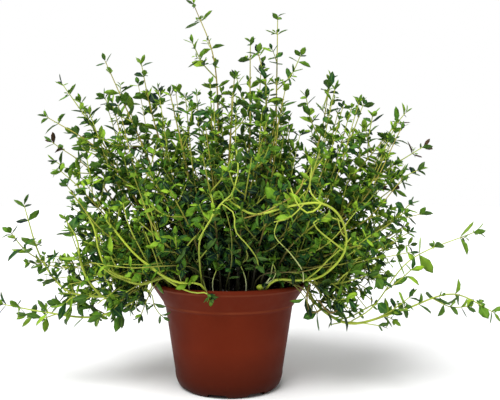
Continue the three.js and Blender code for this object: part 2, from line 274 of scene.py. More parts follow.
# Painted highlight: the lighter colour of thin bands along the ridge and the inner lip.
EDGE_HIGHLIGHT_COLOUR = (0.30, 0.085, 0.035)
SHEEN_TINT = (1.0, 0.50, 0.32, 1.0)
SHADED_FOOT = 0.036
DUSTY_HEIGHTS = (0.050, 0.080)
DUST_SHARES = (0.03, 0.16)
RIDGE_HIGHLIGHT_BAND = (0.0011, 0.0005)
RIDGE_HIGHLIGHT_SHARE = 0.28
LIP_HIGHLIGHT_BAND = (0.0010, 0.0004)
LIP_HIGHLIGHT_SHARE = 0.25
FINE_RELIEF = 0.0002
BROAD_RELIEF = 0.0008


def softened(profile):
    """A profile of (radius, height) points with each corner but the first and last rounded."""
    points = [Vector(point) for point in profile]
    soft = [points[0]]
    for before, corner, after in zip(points, points[1:], points[2:]):
        arms = [before - corner, after - corner]
        reach = min([CORNER_RADIUS] + [arm.length * LARGEST_CORNER for arm in arms])
        start, end = [corner + arm.normalized() * reach for arm in arms]
        for step in range(CORNER_STEPS + 1):
            share = step / CORNER_STEPS
            soft.append(start.lerp(corner, share).lerp(corner.lerp(end, share), share))
    return soft + [points[-1]]


def lathe(name, profile, segments):
    """A closed mesh from a profile that starts and ends on the upright axis."""
    shape = bmesh.new()
    rings = []
    for radius, height in profile:
        if radius < 1e-6:
            rings.append([shape.verts.new((0.0, 0.0, height))])
            continue
        turns = [2 * math.pi * i / segments for i in range(segments)]
        rings.append([shape.verts.new((radius * math.cos(a), radius * math.sin(a), height)) for a in turns])
    for low, high in zip(rings, rings[1:]):
        for i in range(segments):
            corners = [low[i % len(low)], low[(i + 1) % len(low)]]
            corners += [high[(i + 1) % len(high)], high[i % len(high)]]
            shape.faces.new(list(dict.fromkeys(corners)))
    bmesh.ops.recalc_face_normals(shape, faces=shape.faces)
    return mesh_of(shape, name)


def as_plain_mesh(piece):
    """The piece's mesh with its modifiers applied, and the modifiers removed."""
    evaluated = piece.evaluated_get(bpy.context.evaluated_depsgraph_get())
    mesh = bpy.data.meshes.new_from_object(evaluated)
    mesh.name = piece.name
    piece.modifiers.clear()
    piece.data = mesh
    return mesh


def smooth(mesh):
    mesh.polygons.foreach_set("use_smooth", [True] * len(mesh.polygons))
    mesh.set_sharp_from_angle(angle=SHARP_ANGLE)


def part_way(ends, share):
    return ends[0] + (ends[1] - ends[0]) * share


def placed(piece, slot, *nodes):
    """Adds a piece to the part; the nodes are the CAD solids that it stands for."""
    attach(piece, "root")
    if nodes:
        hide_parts(*nodes)


def finished(piece, material, slot, *nodes):
    piece.data.materials.clear()
    piece.data.materials.append(material)
    placed(piece, slot, *nodes)


pot_inside = [
    (FOOT_RADIUS, FLOOR_TOP),
    (BODY_LOW_RADIUS - WALL, FOOT_ROUNDING),
    (BODY_TOP_RADIUS - WALL, RIDGE_HEIGHT - INNER_STEP[0]),
    (RIDGE_RADIUS - WALL, RIDGE_HEIGHT + INNER_STEP[1]),
    (RIM_RADIUS - RIM_LIP - INNER_LIP[0], POT_HEIGHT - INNER_LIP[1]),
    (RIM_RADIUS - RIM_LIP, POT_HEIGHT),
]
pot_outside = [(0.0, 0.0)]
for step in range(FOOT_STEPS + 1):
    turn = math.pi / 2 * step / FOOT_STEPS
    foot_reach = part_way((FOOT_RADIUS, BODY_LOW_RADIUS), math.sin(turn))
    pot_outside.append((foot_reach, FOOT_ROUNDING * (1 - math.cos(turn))))
pot_outside += [
    (BODY_TOP_RADIUS, RIDGE_HEIGHT - RIDGE_FALL),
    (RIDGE_RADIUS, RIDGE_HEIGHT - RIDGE_EDGE),
    (RIDGE_RADIUS, RIDGE_HEIGHT + RIDGE_EDGE),
    (RIM_RADIUS - LIP_UNDERSIDE[0], POT_HEIGHT - LIP_UNDERSIDE[1]),
    (RIM_RADIUS, POT_HEIGHT - LIP_FACE),
    (RIM_RADIUS, POT_HEIGHT - LIP_CHAMFER),
    (RIM_RADIUS - LIP_CHAMFER, POT_HEIGHT),
]
pot_profile = softened([*pot_outside, *reversed(pot_inside), (0.0, FLOOR_TOP)])
pot = new_object("plastic_pot", lathe("pot_shell", pot_profile, POT_SEGMENTS))

channels, drains = bmesh.new(), bmesh.new()
channel_size = Matrix.Diagonal((CHANNEL_END - CHANNEL_START, CHANNEL_WIDTH, 2 * CHANNEL_HEIGHT, 1.0))
channel_place = Matrix.Translation(((CHANNEL_START + CHANNEL_END) / 2, 0.0, 0.0))
drain_place = Matrix.Translation((DRAIN_CENTRE, 0.0, 0.0))
for i in range(CHANNEL_COUNT):
    about_axis = Matrix.Rotation(CHANNEL_TURN - math.pi / 2 + 2 * math.pi * i / CHANNEL_COUNT, 4, "Z")
    channel = bmesh.ops.create_cube(channels, size=1.0, matrix=about_axis @ channel_place @ channel_size)
    channel_edges = {edge for vert in channel["verts"] for edge in vert.link_edges}
    bmesh.ops.bevel(channels, geom=list(channel_edges), offset=CHANNEL_BEVEL, segments=2, affect="EDGES")
    bmesh.ops.create_cone(drains, cap_ends=True, segments=DRAIN_SEGMENTS, radius1=DRAIN_RADIUS,
                          radius2=DRAIN_RADIUS, depth=4 * FLOOR_TOP, matrix=about_axis @ drain_place)
cutters = []
for name, shape in (("channels", channels), ("drains", drains)):
    cutters.append(new_object(name, mesh_of(shape, name)))
    cut = pot.modifiers.new(name, "BOOLEAN")
    cut.operation = "DIFFERENCE"
    cut.object = cutters[-1]
smooth(as_plain_mesh(pot))
for cutter in cutters:
    bpy.data.objects.remove(cutter)

plastic = Finish("terracotta_plastic", Roughness=0.5, Specular_IOR_Level=0.06, Specular_Tint=SHEEN_TINT)
height = plastic.upright_part(plastic.place)
plastic_colour = plastic.ramp(plastic.noise(28.0, 4.0), *PLASTIC_TONES)
# Painted shade: the plastic turns darker towards the foot, fading out at SHADED_FOOT height.
plastic_colour = plastic.mixed(plastic.span(height, 0.0, SHADED_FOOT, 1.0, 0.0), plastic_colour, FOOT_SHADE_COLOUR)
dust = plastic.maths("MULTIPLY", plastic.span(plastic.noise(170.0, 6.0, 0.7), 0.52, 0.72),
                     plastic.span(height, *DUSTY_HEIGHTS, *DUST_SHARES))
plastic_colour = plastic.mixed(dust, plastic_colour, DUST_COLOUR)
# Painted highlight: thin lighter bands along the ridge and the inner lip, broken up by noise.
from_ridge = plastic.maths("ABSOLUTE", plastic.maths("SUBTRACT", height, RIDGE_HEIGHT))
from_lip = plastic.maths("ABSOLUTE", plastic.maths("SUBTRACT", height, POT_HEIGHT - INNER_LIP[1]))
painted_highlight = plastic.maths("MAXIMUM", plastic.span(from_ridge, *RIDGE_HIGHLIGHT_BAND, 0.0, RIDGE_HIGHLIGHT_SHARE),
                     plastic.span(from_lip, *LIP_HIGHLIGHT_BAND, 0.0, LIP_HIGHLIGHT_SHARE))
painted_highlight = plastic.maths("MULTIPLY", painted_highlight, plastic.span(plastic.noise(45.0), 0.35, 0.65, 0.3, 1.0))
plastic.use("Base Color", plastic.mixed(painted_highlight, plastic_colour, EDGE_HIGHLIGHT_COLOUR))
plastic.use("Roughness", plastic.patchy(90.0, 0.46, 0.60, 5.0))
fine_skin = plastic.bump(plastic.noise(2600.0, 2.0), 0.10, FINE_RELIEF)
plastic.bump(plastic.noise(60.0, 2.0), 0.12, BROAD_RELIEF, fine_skin)
finished(pot, plastic.material, "pot", "pot")

# Soil: dark, moist peat with lumps and fibres, pressed into the pot by hand and a little mounded.
# The body is one turned mass with a broken top; loose crumbs and pale perlite grains lie on it.
SOIL_LEVEL = 0.074
SOIL_MOUND = 0.0038
MOUND_STEEPNESS = 4
SOIL_GAP = 0.00045
SOIL_RINGS = 34
SOIL_SEGMENTS = 150
SOIL_ROUGHNESS = 0.0021
SOIL_TOP_BAND = 0.0005
LUMP_SCALE = 210
LUMP_NOISE = (0.9, 2.1, 4)
LUMP_MEAN = 0.15
SMOOTH_EDGE = 0.003
PEAT_RELIEF = 0.0006
PERLITE_RELIEF = 0.0004
PEAT_TONES = ((0.30, (0.0035, 0.0030, 0.0028)), (0.60, (0.012, 0.0085, 0.006)), (0.80, (0.030, 0.020, 0.013)))
PERLITE_TONES = ((0.35, (0.10, 0.09, 0.085)), (0.65, (0.33, 0.32, 0.31)))
GRAINS = {
    "soil_crumbs": {"Density": 260000.0, "Smallest": 0.0006, "Largest": 0.0021, "Sink": 0.0001, "Seed": 11},
    "perlite_grains": {"Density": 24000.0, "Smallest": 0.0007, "Largest": 0.0016, "Sink": 0.0006, "Seed": 23},
}
LEAST_UPWARD = 0.3
GRAIN_TURNS = (6.3, 6.3, 6.3)
GRAIN_SHAPES = 5
GRAIN_LUMPS = 0.45
GRAIN_LUMP_SCALE = 2.3
GRAINS_APART = 7.0
GRAIN_FLATNESS = 0.75

(low_radius, low_height), (high_radius, high_height) = pot_inside[3:5]
rim_share = (SOIL_LEVEL - low_height) / (high_height - low_height)
soil_radius = part_way((low_radius, high_radius), rim_share) - SOIL_GAP
soil_profile = [(0.0, FLOOR_TOP + SOIL_GAP), (FOOT_RADIUS - SOIL_GAP, FLOOR_TOP + SOIL_GAP)]
soil_profile += [(radius - SOIL_GAP, height) for radius, height in pot_inside[1:4]]
for i in range(SOIL_RINGS):
    share = 1 - i / SOIL_RINGS
    mound = SOIL_MOUND * min(1.0, MOUND_STEEPNESS * (1 - share))
    soil_profile.append((soil_radius * share, SOIL_LEVEL + mound))
soil_profile.append((0.0, SOIL_LEVEL + SOIL_MOUND))
soil_mesh = lathe("soil", soil_profile, SOIL_SEGMENTS)
for vertex in soil_mesh.vertices:
    if vertex.co.z > SOIL_LEVEL - SOIL_TOP_BAND:
        lump = noise.fractal(vertex.co * LUMP_SCALE, *LUMP_NOISE)
        inward = min(1.0, (soil_radius - vertex.co.xy.length) / SMOOTH_EDGE)
        vertex.co.z += SOIL_ROUGHNESS * (lump - LUMP_MEAN) * inward
smooth(soil_mesh)

peat = Finish("moist_peat", Roughness=0.95, Specular_IOR_Level=0.2)
peat.use("Base Color", peat.ramp(peat.noise(420.0, 6.0, 0.7), *PEAT_TONES))
peat.use("Roughness", peat.patchy(300.0, 0.7, 1.0))
peat.bump(peat.noise(900.0, 5.0), 0.7, PEAT_RELIEF)
perlite = Finish("pale_perlite", Roughness=0.9)
perlite.use("Base Color", perlite.ramp(perlite.noise(700.0, 4.0), *PERLITE_TONES))
perlite.bump(perlite.noise(1500.0, 4.0), 0.6, PERLITE_RELIEF)


class Growth(Bench):
    """A Geometry Nodes tree with named inputs, used as a modifier on a piece."""

    def __init__(self, name, **kinds):
        super().__init__(bpy.data.node_groups.new(name, "GeometryNodeTree"))
        sockets = self.tree.interface
        for way in ("OUTPUT", "INPUT"):
            sockets.new_socket(name="Geometry", in_out=way, socket_type="NodeSocketGeometry")
        self.named = {}
        for label, kind in kinds.items():
            socket = sockets.new_socket(name=label, in_out="INPUT", socket_type=f"NodeSocket{kind}")
            self.named[label] = socket.identifier
        start = self.add("NodeGroupInput")
        self.geometry = start.outputs["Geometry"]
        self.inputs = {label: start.outputs[label] for label in kinds}

    def attribute(self, name):
        return self.add("GeometryNodeInputNamedAttribute", {"Name": name}, data_type="FLOAT").outputs[0]

    def random(self, low, high, seed, draw=0):
        """A random value between two of a kind; the draw tells apart values that share a seed."""
        kind = {tuple: 0, int: 2}.get(type(low), 1)
        if draw:
            seed = self.maths("ADD", seed, draw)
        values = {2 * kind: low, 2 * kind + 1: high, "Seed": seed}
        data_type = ("FLOAT_VECTOR", "FLOAT", "INT")[kind]
        return self.add("FunctionNodeRandomValue", values, data_type=data_type).outputs[kind]

    def turned(self, angles):
        return self.add("FunctionNodeEulerToRotation", {0: angles}).outputs[0]

    def instanced(self, points, shapes, picked, rotation, scale, selection=True, **stored):
        """Shapes picked from a collection, one on each point, with values stored on them."""
        values = {"Collection": shapes, "Separate Children": True, "Reset Children": True}
        shapes = self.add("GeometryNodeCollectionInfo", values).outputs[0]
        values = {"Points": points, "Selection": selection, "Instance": shapes, "Pick Instance": True,
                  "Instance Index": picked, "Rotation": rotation, "Scale": scale}
        geometry = self.add("GeometryNodeInstanceOnPoints", values).outputs[0]
        for name, value in stored.items():
            values = {"Geometry": geometry, "Name": name, "Value": value}
            geometry = self.add("GeometryNodeStoreNamedAttribute", values, domain="INSTANCE").outputs[0]
        return geometry

    def finish(self, geometry, *materials):
        """Realizes the geometry, sets each (material, selection) and closes the tree."""
        geometry = self.add("GeometryNodeRealizeInstances", {"Geometry": geometry}).outputs[0]
        for material, selection in materials:
            values = {"Geometry": geometry, "Material": material, "Selection": selection}
            geometry = self.add("GeometryNodeSetMaterial", values).outputs[0]
        self.add("NodeGroupOutput", {"Geometry": geometry})

    def on(self, piece, **values):
        """The tree's result on a piece, left as the piece's plain mesh."""
        modifier = piece.modifiers.new(self.tree.name, "NODES")
        modifier.node_group = self.tree
        for label, value in values.items():
            modifier[self.named[label]] = value
        return as_plain_mesh(piece)


# Grains strewn over the upward faces of the soil, each a picked shape turned at random.
strewn = Growth("strewn grains", Grains="Collection", Density="Float", Smallest="Float", Largest="Float",
                Sink="Float", Seed="Int", Material="Material")
seed = strewn.inputs["Seed"]
normal = strewn.add("GeometryNodeInputNormal").outputs[0]
upward = strewn.maths("GREATER_THAN", strewn.upright_part(normal), LEAST_UPWARD)
density = strewn.inputs["Density"]
points = {"Mesh": strewn.geometry, "Selection": upward, "Density": density, "Seed": seed}
points = strewn.add("GeometryNodeDistributePointsOnFaces", points).outputs[0]
sunk = strewn.add("ShaderNodeCombineXYZ", {"Z": strewn.inputs["Sink"]}).outputs[0]
points = strewn.add("GeometryNodeSetPosition", {"Geometry": points, "Offset": sunk}).outputs[0]
grain_turn = strewn.turned(strewn.random((0.0, 0.0, 0.0), GRAIN_TURNS, seed))
grain_size = strewn.random(strewn.inputs["Smallest"], strewn.inputs["Largest"], seed, 5)
picked = strewn.random(0, GRAIN_SHAPES - 1, 3)
grains = strewn.instanced(points, strewn.inputs["Grains"], picked, grain_turn, grain_size)
strewn.finish(grains, (strewn.inputs["Material"], True))

grain_collection = bpy.data.collections.new("grain_shapes")
for i in range(GRAIN_SHAPES):
    grain_shape = bmesh.new()
    bmesh.ops.create_icosphere(grain_shape, subdivisions=1, radius=0.5)
    for vertex in grain_shape.verts:
        noise_place = vertex.co * GRAIN_LUMP_SCALE + Vector((GRAINS_APART * i, 0.0, 0.0))
        vertex.co *= 1 + GRAIN_LUMPS * noise.noise(noise_place)
        vertex.co.z *= GRAIN_FLATNESS
    grain_collection.objects.link(bpy.data.objects.new(f"grain_{i}", mesh_of(grain_shape, f"grain_{i}")))

finished(new_object("peat_soil", soil_mesh), peat.material, "soil", "soil")
for name, finish in (("soil_crumbs", peat), ("perlite_grains", perlite)):
    grains = new_object(name, soil_mesh.copy())
    strewn.on(grains, Grains=grain_collection, Material=finish.material, **GRAINS[name])
    finished(grains, finish.material, "soil")

# Leaves: small, pointed and a little cupped, dark glossy green above and paler beneath, with a light
# midrib. They grow in opposite pairs on very short stalks. Each shape is one unit long, for scaling.
LEAF_STATIONS = (0.0, 0.15, 0.44, 0.77, 1.0)
LEAF_HALF_WIDTHS = (0.0, 0.085, 0.225, 0.168, 0.0)
LEAF_THICKNESS = 0.045
LEAF_SHAPES = [
    {"width": 1.0, "fold": 0.20, "droop": 0.08, "twist": 0.0},
    {"width": 1.12, "fold": -0.15, "droop": 0.22, "twist": 0.25},
    {"width": 0.88, "fold": 0.40, "droop": -0.16, "twist": -0.3},
    {"width": 1.05, "fold": 0.30, "droop": 0.34, "twist": 0.35},
    {"width": 0.76, "fold": 0.60, "droop": 0.16, "twist": -0.15},
    {"width": 1.30, "fold": -0.08, "droop": 0.14, "twist": -0.2},
]
LEAF_TONES = (
    (0.00, (0.004, 0.018, 0.011)),
    (0.30, (0.022, 0.090, 0.018)),
    (0.62, (0.090, 0.216, 0.013)),
    (1.00, (0.282, 0.465, 0.030)),
)
BENEATH_COLOUR = (0.092, 0.180, 0.026)
MIDRIB_COLOUR = (0.15, 0.27, 0.035)
BRONZE_COLOUR = (0.070, 0.040, 0.020)
# Painted shade: the middle of the plant, and how far from it leaves and stalks are darkened.
SHADE_CENTRE = (0.005, -0.012, 0.085)
LEAF_SHADE_REACH = (0.040, 0.100)
LEAF_SHADE_TONES = (-0.56, 0.13)
PATCH_TONES = (-0.12, 0.12)
BENEATH_SHARE = 0.45
MIDRIB_SHARE = 0.40
LEAF_RELIEF = 0.0003


def leaf_mesh(name, width, fold, droop, twist):
    """A closed blade along +X with its face up. Its rib attribute is 1 on the midrib and 0 at the margin,
    and its blade attribute is 1 on the faces above and 2 on those beneath."""
    shape = bmesh.new()
    rib = shape.verts.layers.float.new("rib")
    blade = shape.faces.layers.float.new("blade")
    sections = []
    for at, half in zip(LEAF_STATIONS, LEAF_HALF_WIDTHS):
        middle = Vector((at, 0.0, -droop * at * at))
        sideways = Matrix.Rotation(twist * at, 3, "X") @ Vector((0.0, half * width, 0.0))
        raised = Vector((0.0, 0.0, fold * half * width))
        thick = Vector((0.0, 0.0, LEAF_THICKNESS / 2))
        places = [middle - sideways + raised, middle + thick, middle + sideways + raised, middle - thick]
        corners = [shape.verts.new(place) for place in places] if half else [shape.verts.new(middle)] * 4
        corners[1][rib] = corners[3][rib] = 1.0
        sections.append(corners)
    for near, far in zip(sections, sections[1:]):
        for i in range(4):
            after = (i + 1) % 4
            face = shape.faces.new(list(dict.fromkeys((near[after], near[i], far[i], far[after]))))
            face[blade] = 1.0 if i < 2 else 2.0
            face.smooth = True
    bmesh.ops.recalc_face_normals(shape, faces=shape.faces)
    mesh = mesh_of(shape, name)
    for edge in mesh.edges:
        edge.use_edge_sharp = all(mesh.attributes["rib"].data[i].value < 0.5 for i in edge.vertices)
    return mesh


leaf_collection = bpy.data.collections.new("leaf_shapes")
for i, leaf_shape in enumerate(LEAF_SHAPES):
    leaf_collection.objects.link(bpy.data.objects.new(f"leaf_{i}", leaf_mesh(f"leaf_{i}", **leaf_shape)))

leaf_finish = Finish("thyme_leaf", Roughness=0.45, Specular_IOR_Level=0.09)
leaf_tone = leaf_finish.attribute("leaf_tone")
# Painted shade: each leaf's tone is lowered near the middle of the plant and raised at its outside.
for tone in (leaf_finish.attribute("sprig_tone"), leaf_finish.patchy(220.0, *PATCH_TONES),
             leaf_finish.span(leaf_finish.distance_from(SHADE_CENTRE), *LEAF_SHADE_REACH, *LEAF_SHADE_TONES)):
    leaf_tone = leaf_finish.maths("ADD", leaf_tone, tone)
leaf_colour = leaf_finish.ramp(leaf_tone, *LEAF_TONES)
beneath = leaf_finish.span(leaf_finish.attribute("blade"), 1.2, 1.8, 0.0, BENEATH_SHARE)
leaf_colour = leaf_finish.mixed(beneath, leaf_colour, BENEATH_COLOUR)
midrib = leaf_finish.span(leaf_finish.attribute("rib"), 0.80, 0.97, 0.0, MIDRIB_SHARE)
leaf_colour = leaf_finish.mixed(midrib, leaf_colour, MIDRIB_COLOUR)
leaf_colour = leaf_finish.mixed(leaf_finish.attribute("bronze"), leaf_colour, BRONZE_COLOUR)
leaf_finish.use("Base Color", leaf_colour)
leaf_finish.use("Roughness", leaf_finish.patchy(500.0, 0.38, 0.58))
leaf_finish.bump(leaf_finish.noise(1300.0), 0.25, LEAF_RELIEF)

# Stalks: square, wiry and slightly rough, pale yellow-green while young and tan to brown with age.
# One growth rule makes the stalk along its run and sets pairs of leaves and of side sprigs on it.
STALK_SIDES = 6
SPRIG_SIDES = 4
LEAF_LIFT = math.radians(62)
LEAF_LIFT_SPREAD = math.radians(16)
LEAF_ROLL = (0.80, 0.3, 0.35)
LEAF_SIZES = (0.82, 1.18)
LEAF_TONE_RANGE = (-0.18, 0.95)
SPRIG_LEAN = math.radians(40)
SPRIG_LEAN_SHARES = (0.75, 1.3)
SPRIG_UPTURN = 0.30
SPRIG_SIZES = (0.85, 1.15)
SPRIG_KIND_SPREAD = (-1.2, 1.2)
SPRIG_TONE_RANGE = (-0.18, 0.18)
OTHER_HALF_SEED = 100
NEARLY_UPRIGHT = 0.95
STALK_TONES = (
    (0.00, (0.430, 0.530, 0.040)),
    (0.14, (0.360, 0.450, 0.045)),
    (0.38, (0.360, 0.375, 0.042)),
    (0.65, (0.330, 0.255, 0.045)),
    (1.00, (0.190, 0.112, 0.034)),
)
# Painted shade: how far from the middle of the plant stalks are darkened, how much, and to what colour.
STALK_SHADE_REACH = (0.036, 0.092)
STALK_SHADE_SHARE = 0.97
STALK_RELIEF = 0.0003
STALK_SHADE_COLOUR = (0.012, 0.014, 0.007)
PALE_COLOUR = (0.560, 0.600, 0.370)
RUN_ATTRIBUTES = ("thickness", "turn", "lift", "leaf_size", "sprig_size", "sprig_share", "sprig_kind")
COLOUR_ATTRIBUTES = ("age", "pale", "bronze")

stalk_finish = Finish("thyme_stalk", Roughness=0.55, Specular_IOR_Level=0.35)
age = stalk_finish.attribute("age")
stalk_age = stalk_finish.maths("ADD", age, stalk_finish.patchy(120.0, -0.10, 0.10))
# Painted shade: older stalks near the middle of the plant are turned nearly black; young ones are spared.
painted_core_shade = stalk_finish.span(stalk_finish.distance_from(SHADE_CENTRE), *STALK_SHADE_REACH, STALK_SHADE_SHARE, 0.0)
painted_core_shade = stalk_finish.maths("MULTIPLY", painted_core_shade, stalk_finish.span(age, 0.06, 0.20))
stalk_colour = stalk_finish.ramp(stalk_age, *STALK_TONES)
stalk_colour = stalk_finish.mixed(painted_core_shade, stalk_colour, STALK_SHADE_COLOUR)
stalk_colour = stalk_finish.mixed(stalk_finish.attribute("pale"), stalk_colour, PALE_COLOUR)
stalk_finish.use("Base Color", stalk_colour)
stalk_finish.bump(stalk_finish.noise(1600.0), 0.35, STALK_RELIEF)

leafy = Growth("leafy stalks", Leaves="Collection", Sprigs="Collection", Sides="Int", Seed="Int",
               Lift="Float", Spread="Float", Lean="Float", Upturn="Float", Leaf="Material", Stalk="Material")


def leaning(across, along, angle):
    """The direction at an angle from along, towards across."""
    sideways = leafy.scaled(across, leafy.maths("SINE", angle))
    return leafy.vector("ADD", sideways, leafy.scaled(along, leafy.maths("COSINE", angle)))


def facing(first_axis, first, second_axis, second):
    """The turn that points a shape's first axis one way and its second axis nearly another way."""
    return leafy.add("FunctionNodeAxesToRotation", {"Primary Axis": first, "Secondary Axis": second},
                     primary_axis=first_axis, secondary_axis=second_axis).outputs[0]


runs = leafy.add("GeometryNodeMeshToCurve", {"Mesh": leafy.geometry}).outputs[0]
section = leafy.add("GeometryNodeCurvePrimitiveCircle", {"Resolution": leafy.inputs["Sides"], "Radius": 1.0})
stalks = leafy.add("GeometryNodeCurveToMesh",
                   {"Curve": runs, "Profile Curve": section.outputs[0], "Scale": leafy.attribute("thickness"),
                    "Fill Caps": True}).outputs[0]
grown = [leafy.add("GeometryNodeSetShadeSmooth", {"Geometry": stalks, "Shade Smooth": True}).outputs[0]]
along = leafy.add("GeometryNodeInputTangent").outputs[0]
leans = leafy.maths("LESS_THAN", leafy.maths("ABSOLUTE", leafy.upright_part(along)), NEARLY_UPRIGHT)
level = leafy.add("GeometryNodeSwitch", {"Switch": leans, "False": (0.0, 1.0, 0.0), "True": (0.0, 0.0, 1.0)},
                  input_type="VECTOR").outputs[0]
level = leafy.vector("SUBTRACT", level, leafy.scaled(along, leafy.vector("DOT_PRODUCT", level, along)))
level = leafy.vector("NORMALIZE", level)
for half in (0, 1):
    seed = leafy.maths("ADD", leafy.inputs["Seed"], OTHER_HALF_SEED * half)
    turn = leafy.maths("ADD", leafy.attribute("turn"), half * math.pi)
    across = leafy.add("ShaderNodeVectorRotate", {"Vector": level, "Axis": along, "Angle": turn}).outputs[0]

    lift = leafy.maths("MULTIPLY", leafy.random(-1.0, 1.0, seed), leafy.inputs["Spread"])
    lift = leafy.maths("ADD", leafy.maths("MULTIPLY", leafy.attribute("lift"), leafy.inputs["Lift"]), lift)
    roll = leafy.turned(leafy.random(tuple(-angle for angle in LEAF_ROLL), LEAF_ROLL, seed, 1))
    rotation = leafy.add("FunctionNodeRotateRotation",
                         {0: facing("X", leaning(across, along, lift), "Z", along), 1: roll},
                         rotation_space="LOCAL").outputs[0]
    leaf_size = leafy.attribute("leaf_size")
    size = leafy.maths("MULTIPLY", leaf_size, leafy.random(*LEAF_SIZES, seed, 2))
    picked = leafy.random(0, len(LEAF_SHAPES) - 1, seed, 3)
    bronzed = leafy.maths("LESS_THAN", leafy.random(0.0, 1.0, seed, 4), leafy.attribute("bronze"))
    tone = leafy.random(*LEAF_TONE_RANGE, seed, 5)
    wanted = leafy.maths("GREATER_THAN", leaf_size, 0.0)
    grown.append(leafy.instanced(runs, leafy.inputs["Leaves"], picked, rotation, size, wanted,
                                 bronze=bronzed, leaf_tone=tone))

    lean = leafy.maths("MULTIPLY", leafy.random(*SPRIG_LEAN_SHARES, seed, 6), leafy.inputs["Lean"])
    upward = leafy.add("ShaderNodeCombineXYZ", {"Z": leafy.inputs["Upturn"]}).outputs[0]
    direction = leafy.vector("NORMALIZE", leafy.vector("ADD", leaning(across, along, lean), upward))
    sprig_size = leafy.attribute("sprig_size")
    size = leafy.maths("MULTIPLY", sprig_size, leafy.random(*SPRIG_SIZES, seed, 7))
    wanted = leafy.maths("LESS_THAN", leafy.random(0.0, 1.0, seed, 8), leafy.attribute("sprig_share"))
    wanted = leafy.maths("MULTIPLY", wanted, leafy.maths("GREATER_THAN", sprig_size, 0.0))
    kind = leafy.maths("ADD", leafy.attribute("sprig_kind"), leafy.random(*SPRIG_KIND_SPREAD, seed, 9))
    kind = leafy.maths("MAXIMUM", leafy.maths("ROUND", kind), 0.0)
    tone = leafy.random(*SPRIG_TONE_RANGE, seed, 10)
    rotation = facing("Z", direction, "X", across)
    grown.append(leafy.instanced(runs, leafy.inputs["Sprigs"], kind, rotation, size, wanted, sprig_tone=tone))
joined = leafy.add("GeometryNodeJoinGeometry")
for part in grown:
    leafy.tree.links.new(part, joined.inputs[0])
blade = leafy.attribute("blade")
leafy.finish(joined.outputs[0], (leafy.inputs["Stalk"], leafy.maths("LESS_THAN", blade, 0.5)),
             (leafy.inputs["Leaf"], leafy.maths("GREATER_THAN", blade, 0.5)))


def grown_piece(name, lines, seed, sprigs, sides=STALK_SIDES):
    """A piece grown along lines; a line is a list of (place, {attribute: value}) from foot to tip."""
    mesh = bpy.data.meshes.new(name)
    edges, count = [], 0
    for line in lines:
        edges += [(count + i, count + i + 1) for i in range(len(line) - 1)]
        count += len(line)
    mesh.from_pydata([place for line in lines for place, _ in line], edges, [])
    for attribute in RUN_ATTRIBUTES + COLOUR_ATTRIBUTES:
        values = [point.get(attribute, 0.0) for line in lines for _, point in line]
        mesh.attributes.new(attribute, "FLOAT", "POINT").data.foreach_set("value", values)
    piece = new_object(name, mesh)
    mesh = leafy.on(piece, Leaves=leaf_collection, Sprigs=sprigs, Sides=sides, Seed=seed, Lift=LEAF_LIFT,
                    Spread=LEAF_LIFT_SPREAD, Lean=SPRIG_LEAN, Upturn=SPRIG_UPTURN,
                    Leaf=leaf_finish.material, Stalk=stalk_finish.material)
    for attribute in RUN_ATTRIBUTES:
        if attribute in mesh.attributes:
            mesh.attributes.remove(mesh.attributes[attribute])
    return piece


# Side sprigs: the short leafy growth that sits in the leaf axils, made in several lengths and bends.
# Each is a thin green stalk with two close pairs of leaves at its tip and longer gaps below them.
SPRIGS = [
    {"length": 0.004, "bend": 0.10, "pairs": (0.0, 0.0016)},
    {"length": 0.007, "bend": -0.14, "pairs": (0.0, 0.0024)},
    {"length": 0.011, "bend": 0.18, "pairs": (0.0, 0.0022, 0.0070)},
    {"length": 0.014, "bend": -0.10, "pairs": (0.0, 0.0030, 0.0090)},
    {"length": 0.019, "bend": -0.22, "pairs": (0.0, 0.0026, 0.0080, 0.0140)},
    {"length": 0.024, "bend": 0.14, "pairs": (0.0, 0.0032, 0.0100, 0.0170)},
    {"length": 0.031, "bend": -0.16, "pairs": (0.0, 0.0034, 0.0105, 0.0180, 0.0250)},
]
SPRIG_STEPS = 5
SPRIG_THICKNESS = (0.00024, 0.00042)
SPRIG_AGES = (0.1, 0.3)
SPRIG_TURN = 0.7
SPRIG_SEED = 40
SPRIG_LEAF = 0.0094
SPRIG_PAIR_LIFTS = (0.4, 0.75, 1.0)
LEAF_GROWTH = 0.009
LEAF_GROWTH_START = 0.54


def leaf_growth(from_tip):
    """How much of its full size a leaf has reached at a distance from the tip."""
    return part_way((LEAF_GROWTH_START, 1.0), math.sqrt(min(1.0, from_tip / LEAF_GROWTH)))


sprig_collection = bpy.data.collections.new("sprig_shapes")
no_sprigs = bpy.data.collections.new("no_sprigs")
for i, sprig in enumerate(SPRIGS):
    length, pairs = sprig["length"], sprig["pairs"]
    plain_places = [length * step / SPRIG_STEPS for step in range(1, SPRIG_STEPS + 1)]
    line = []
    for from_tip in sorted({*pairs, *plain_places}, reverse=True):
        height = length - from_tip
        point = {"thickness": part_way(SPRIG_THICKNESS, from_tip / length),
                 "age": part_way(SPRIG_AGES, from_tip / length)}
        if from_tip in pairs:
            k = pairs.index(from_tip)
            point.update(turn=SPRIG_TURN * i + k * math.pi / 2, leaf_size=SPRIG_LEAF * leaf_growth(from_tip),
                         lift=SPRIG_PAIR_LIFTS[min(k, 2)])
        line.append((Vector((sprig["bend"] * height * height / length, 0.0, height)), point))
    grown_sprig = grown_piece(f"sprig_{i}", [line], SPRIG_SEED * i, no_sprigs, SPRIG_SIDES)
    bpy.context.scene.collection.objects.unlink(grown_sprig)
    sprig_collection.objects.link(grown_sprig)
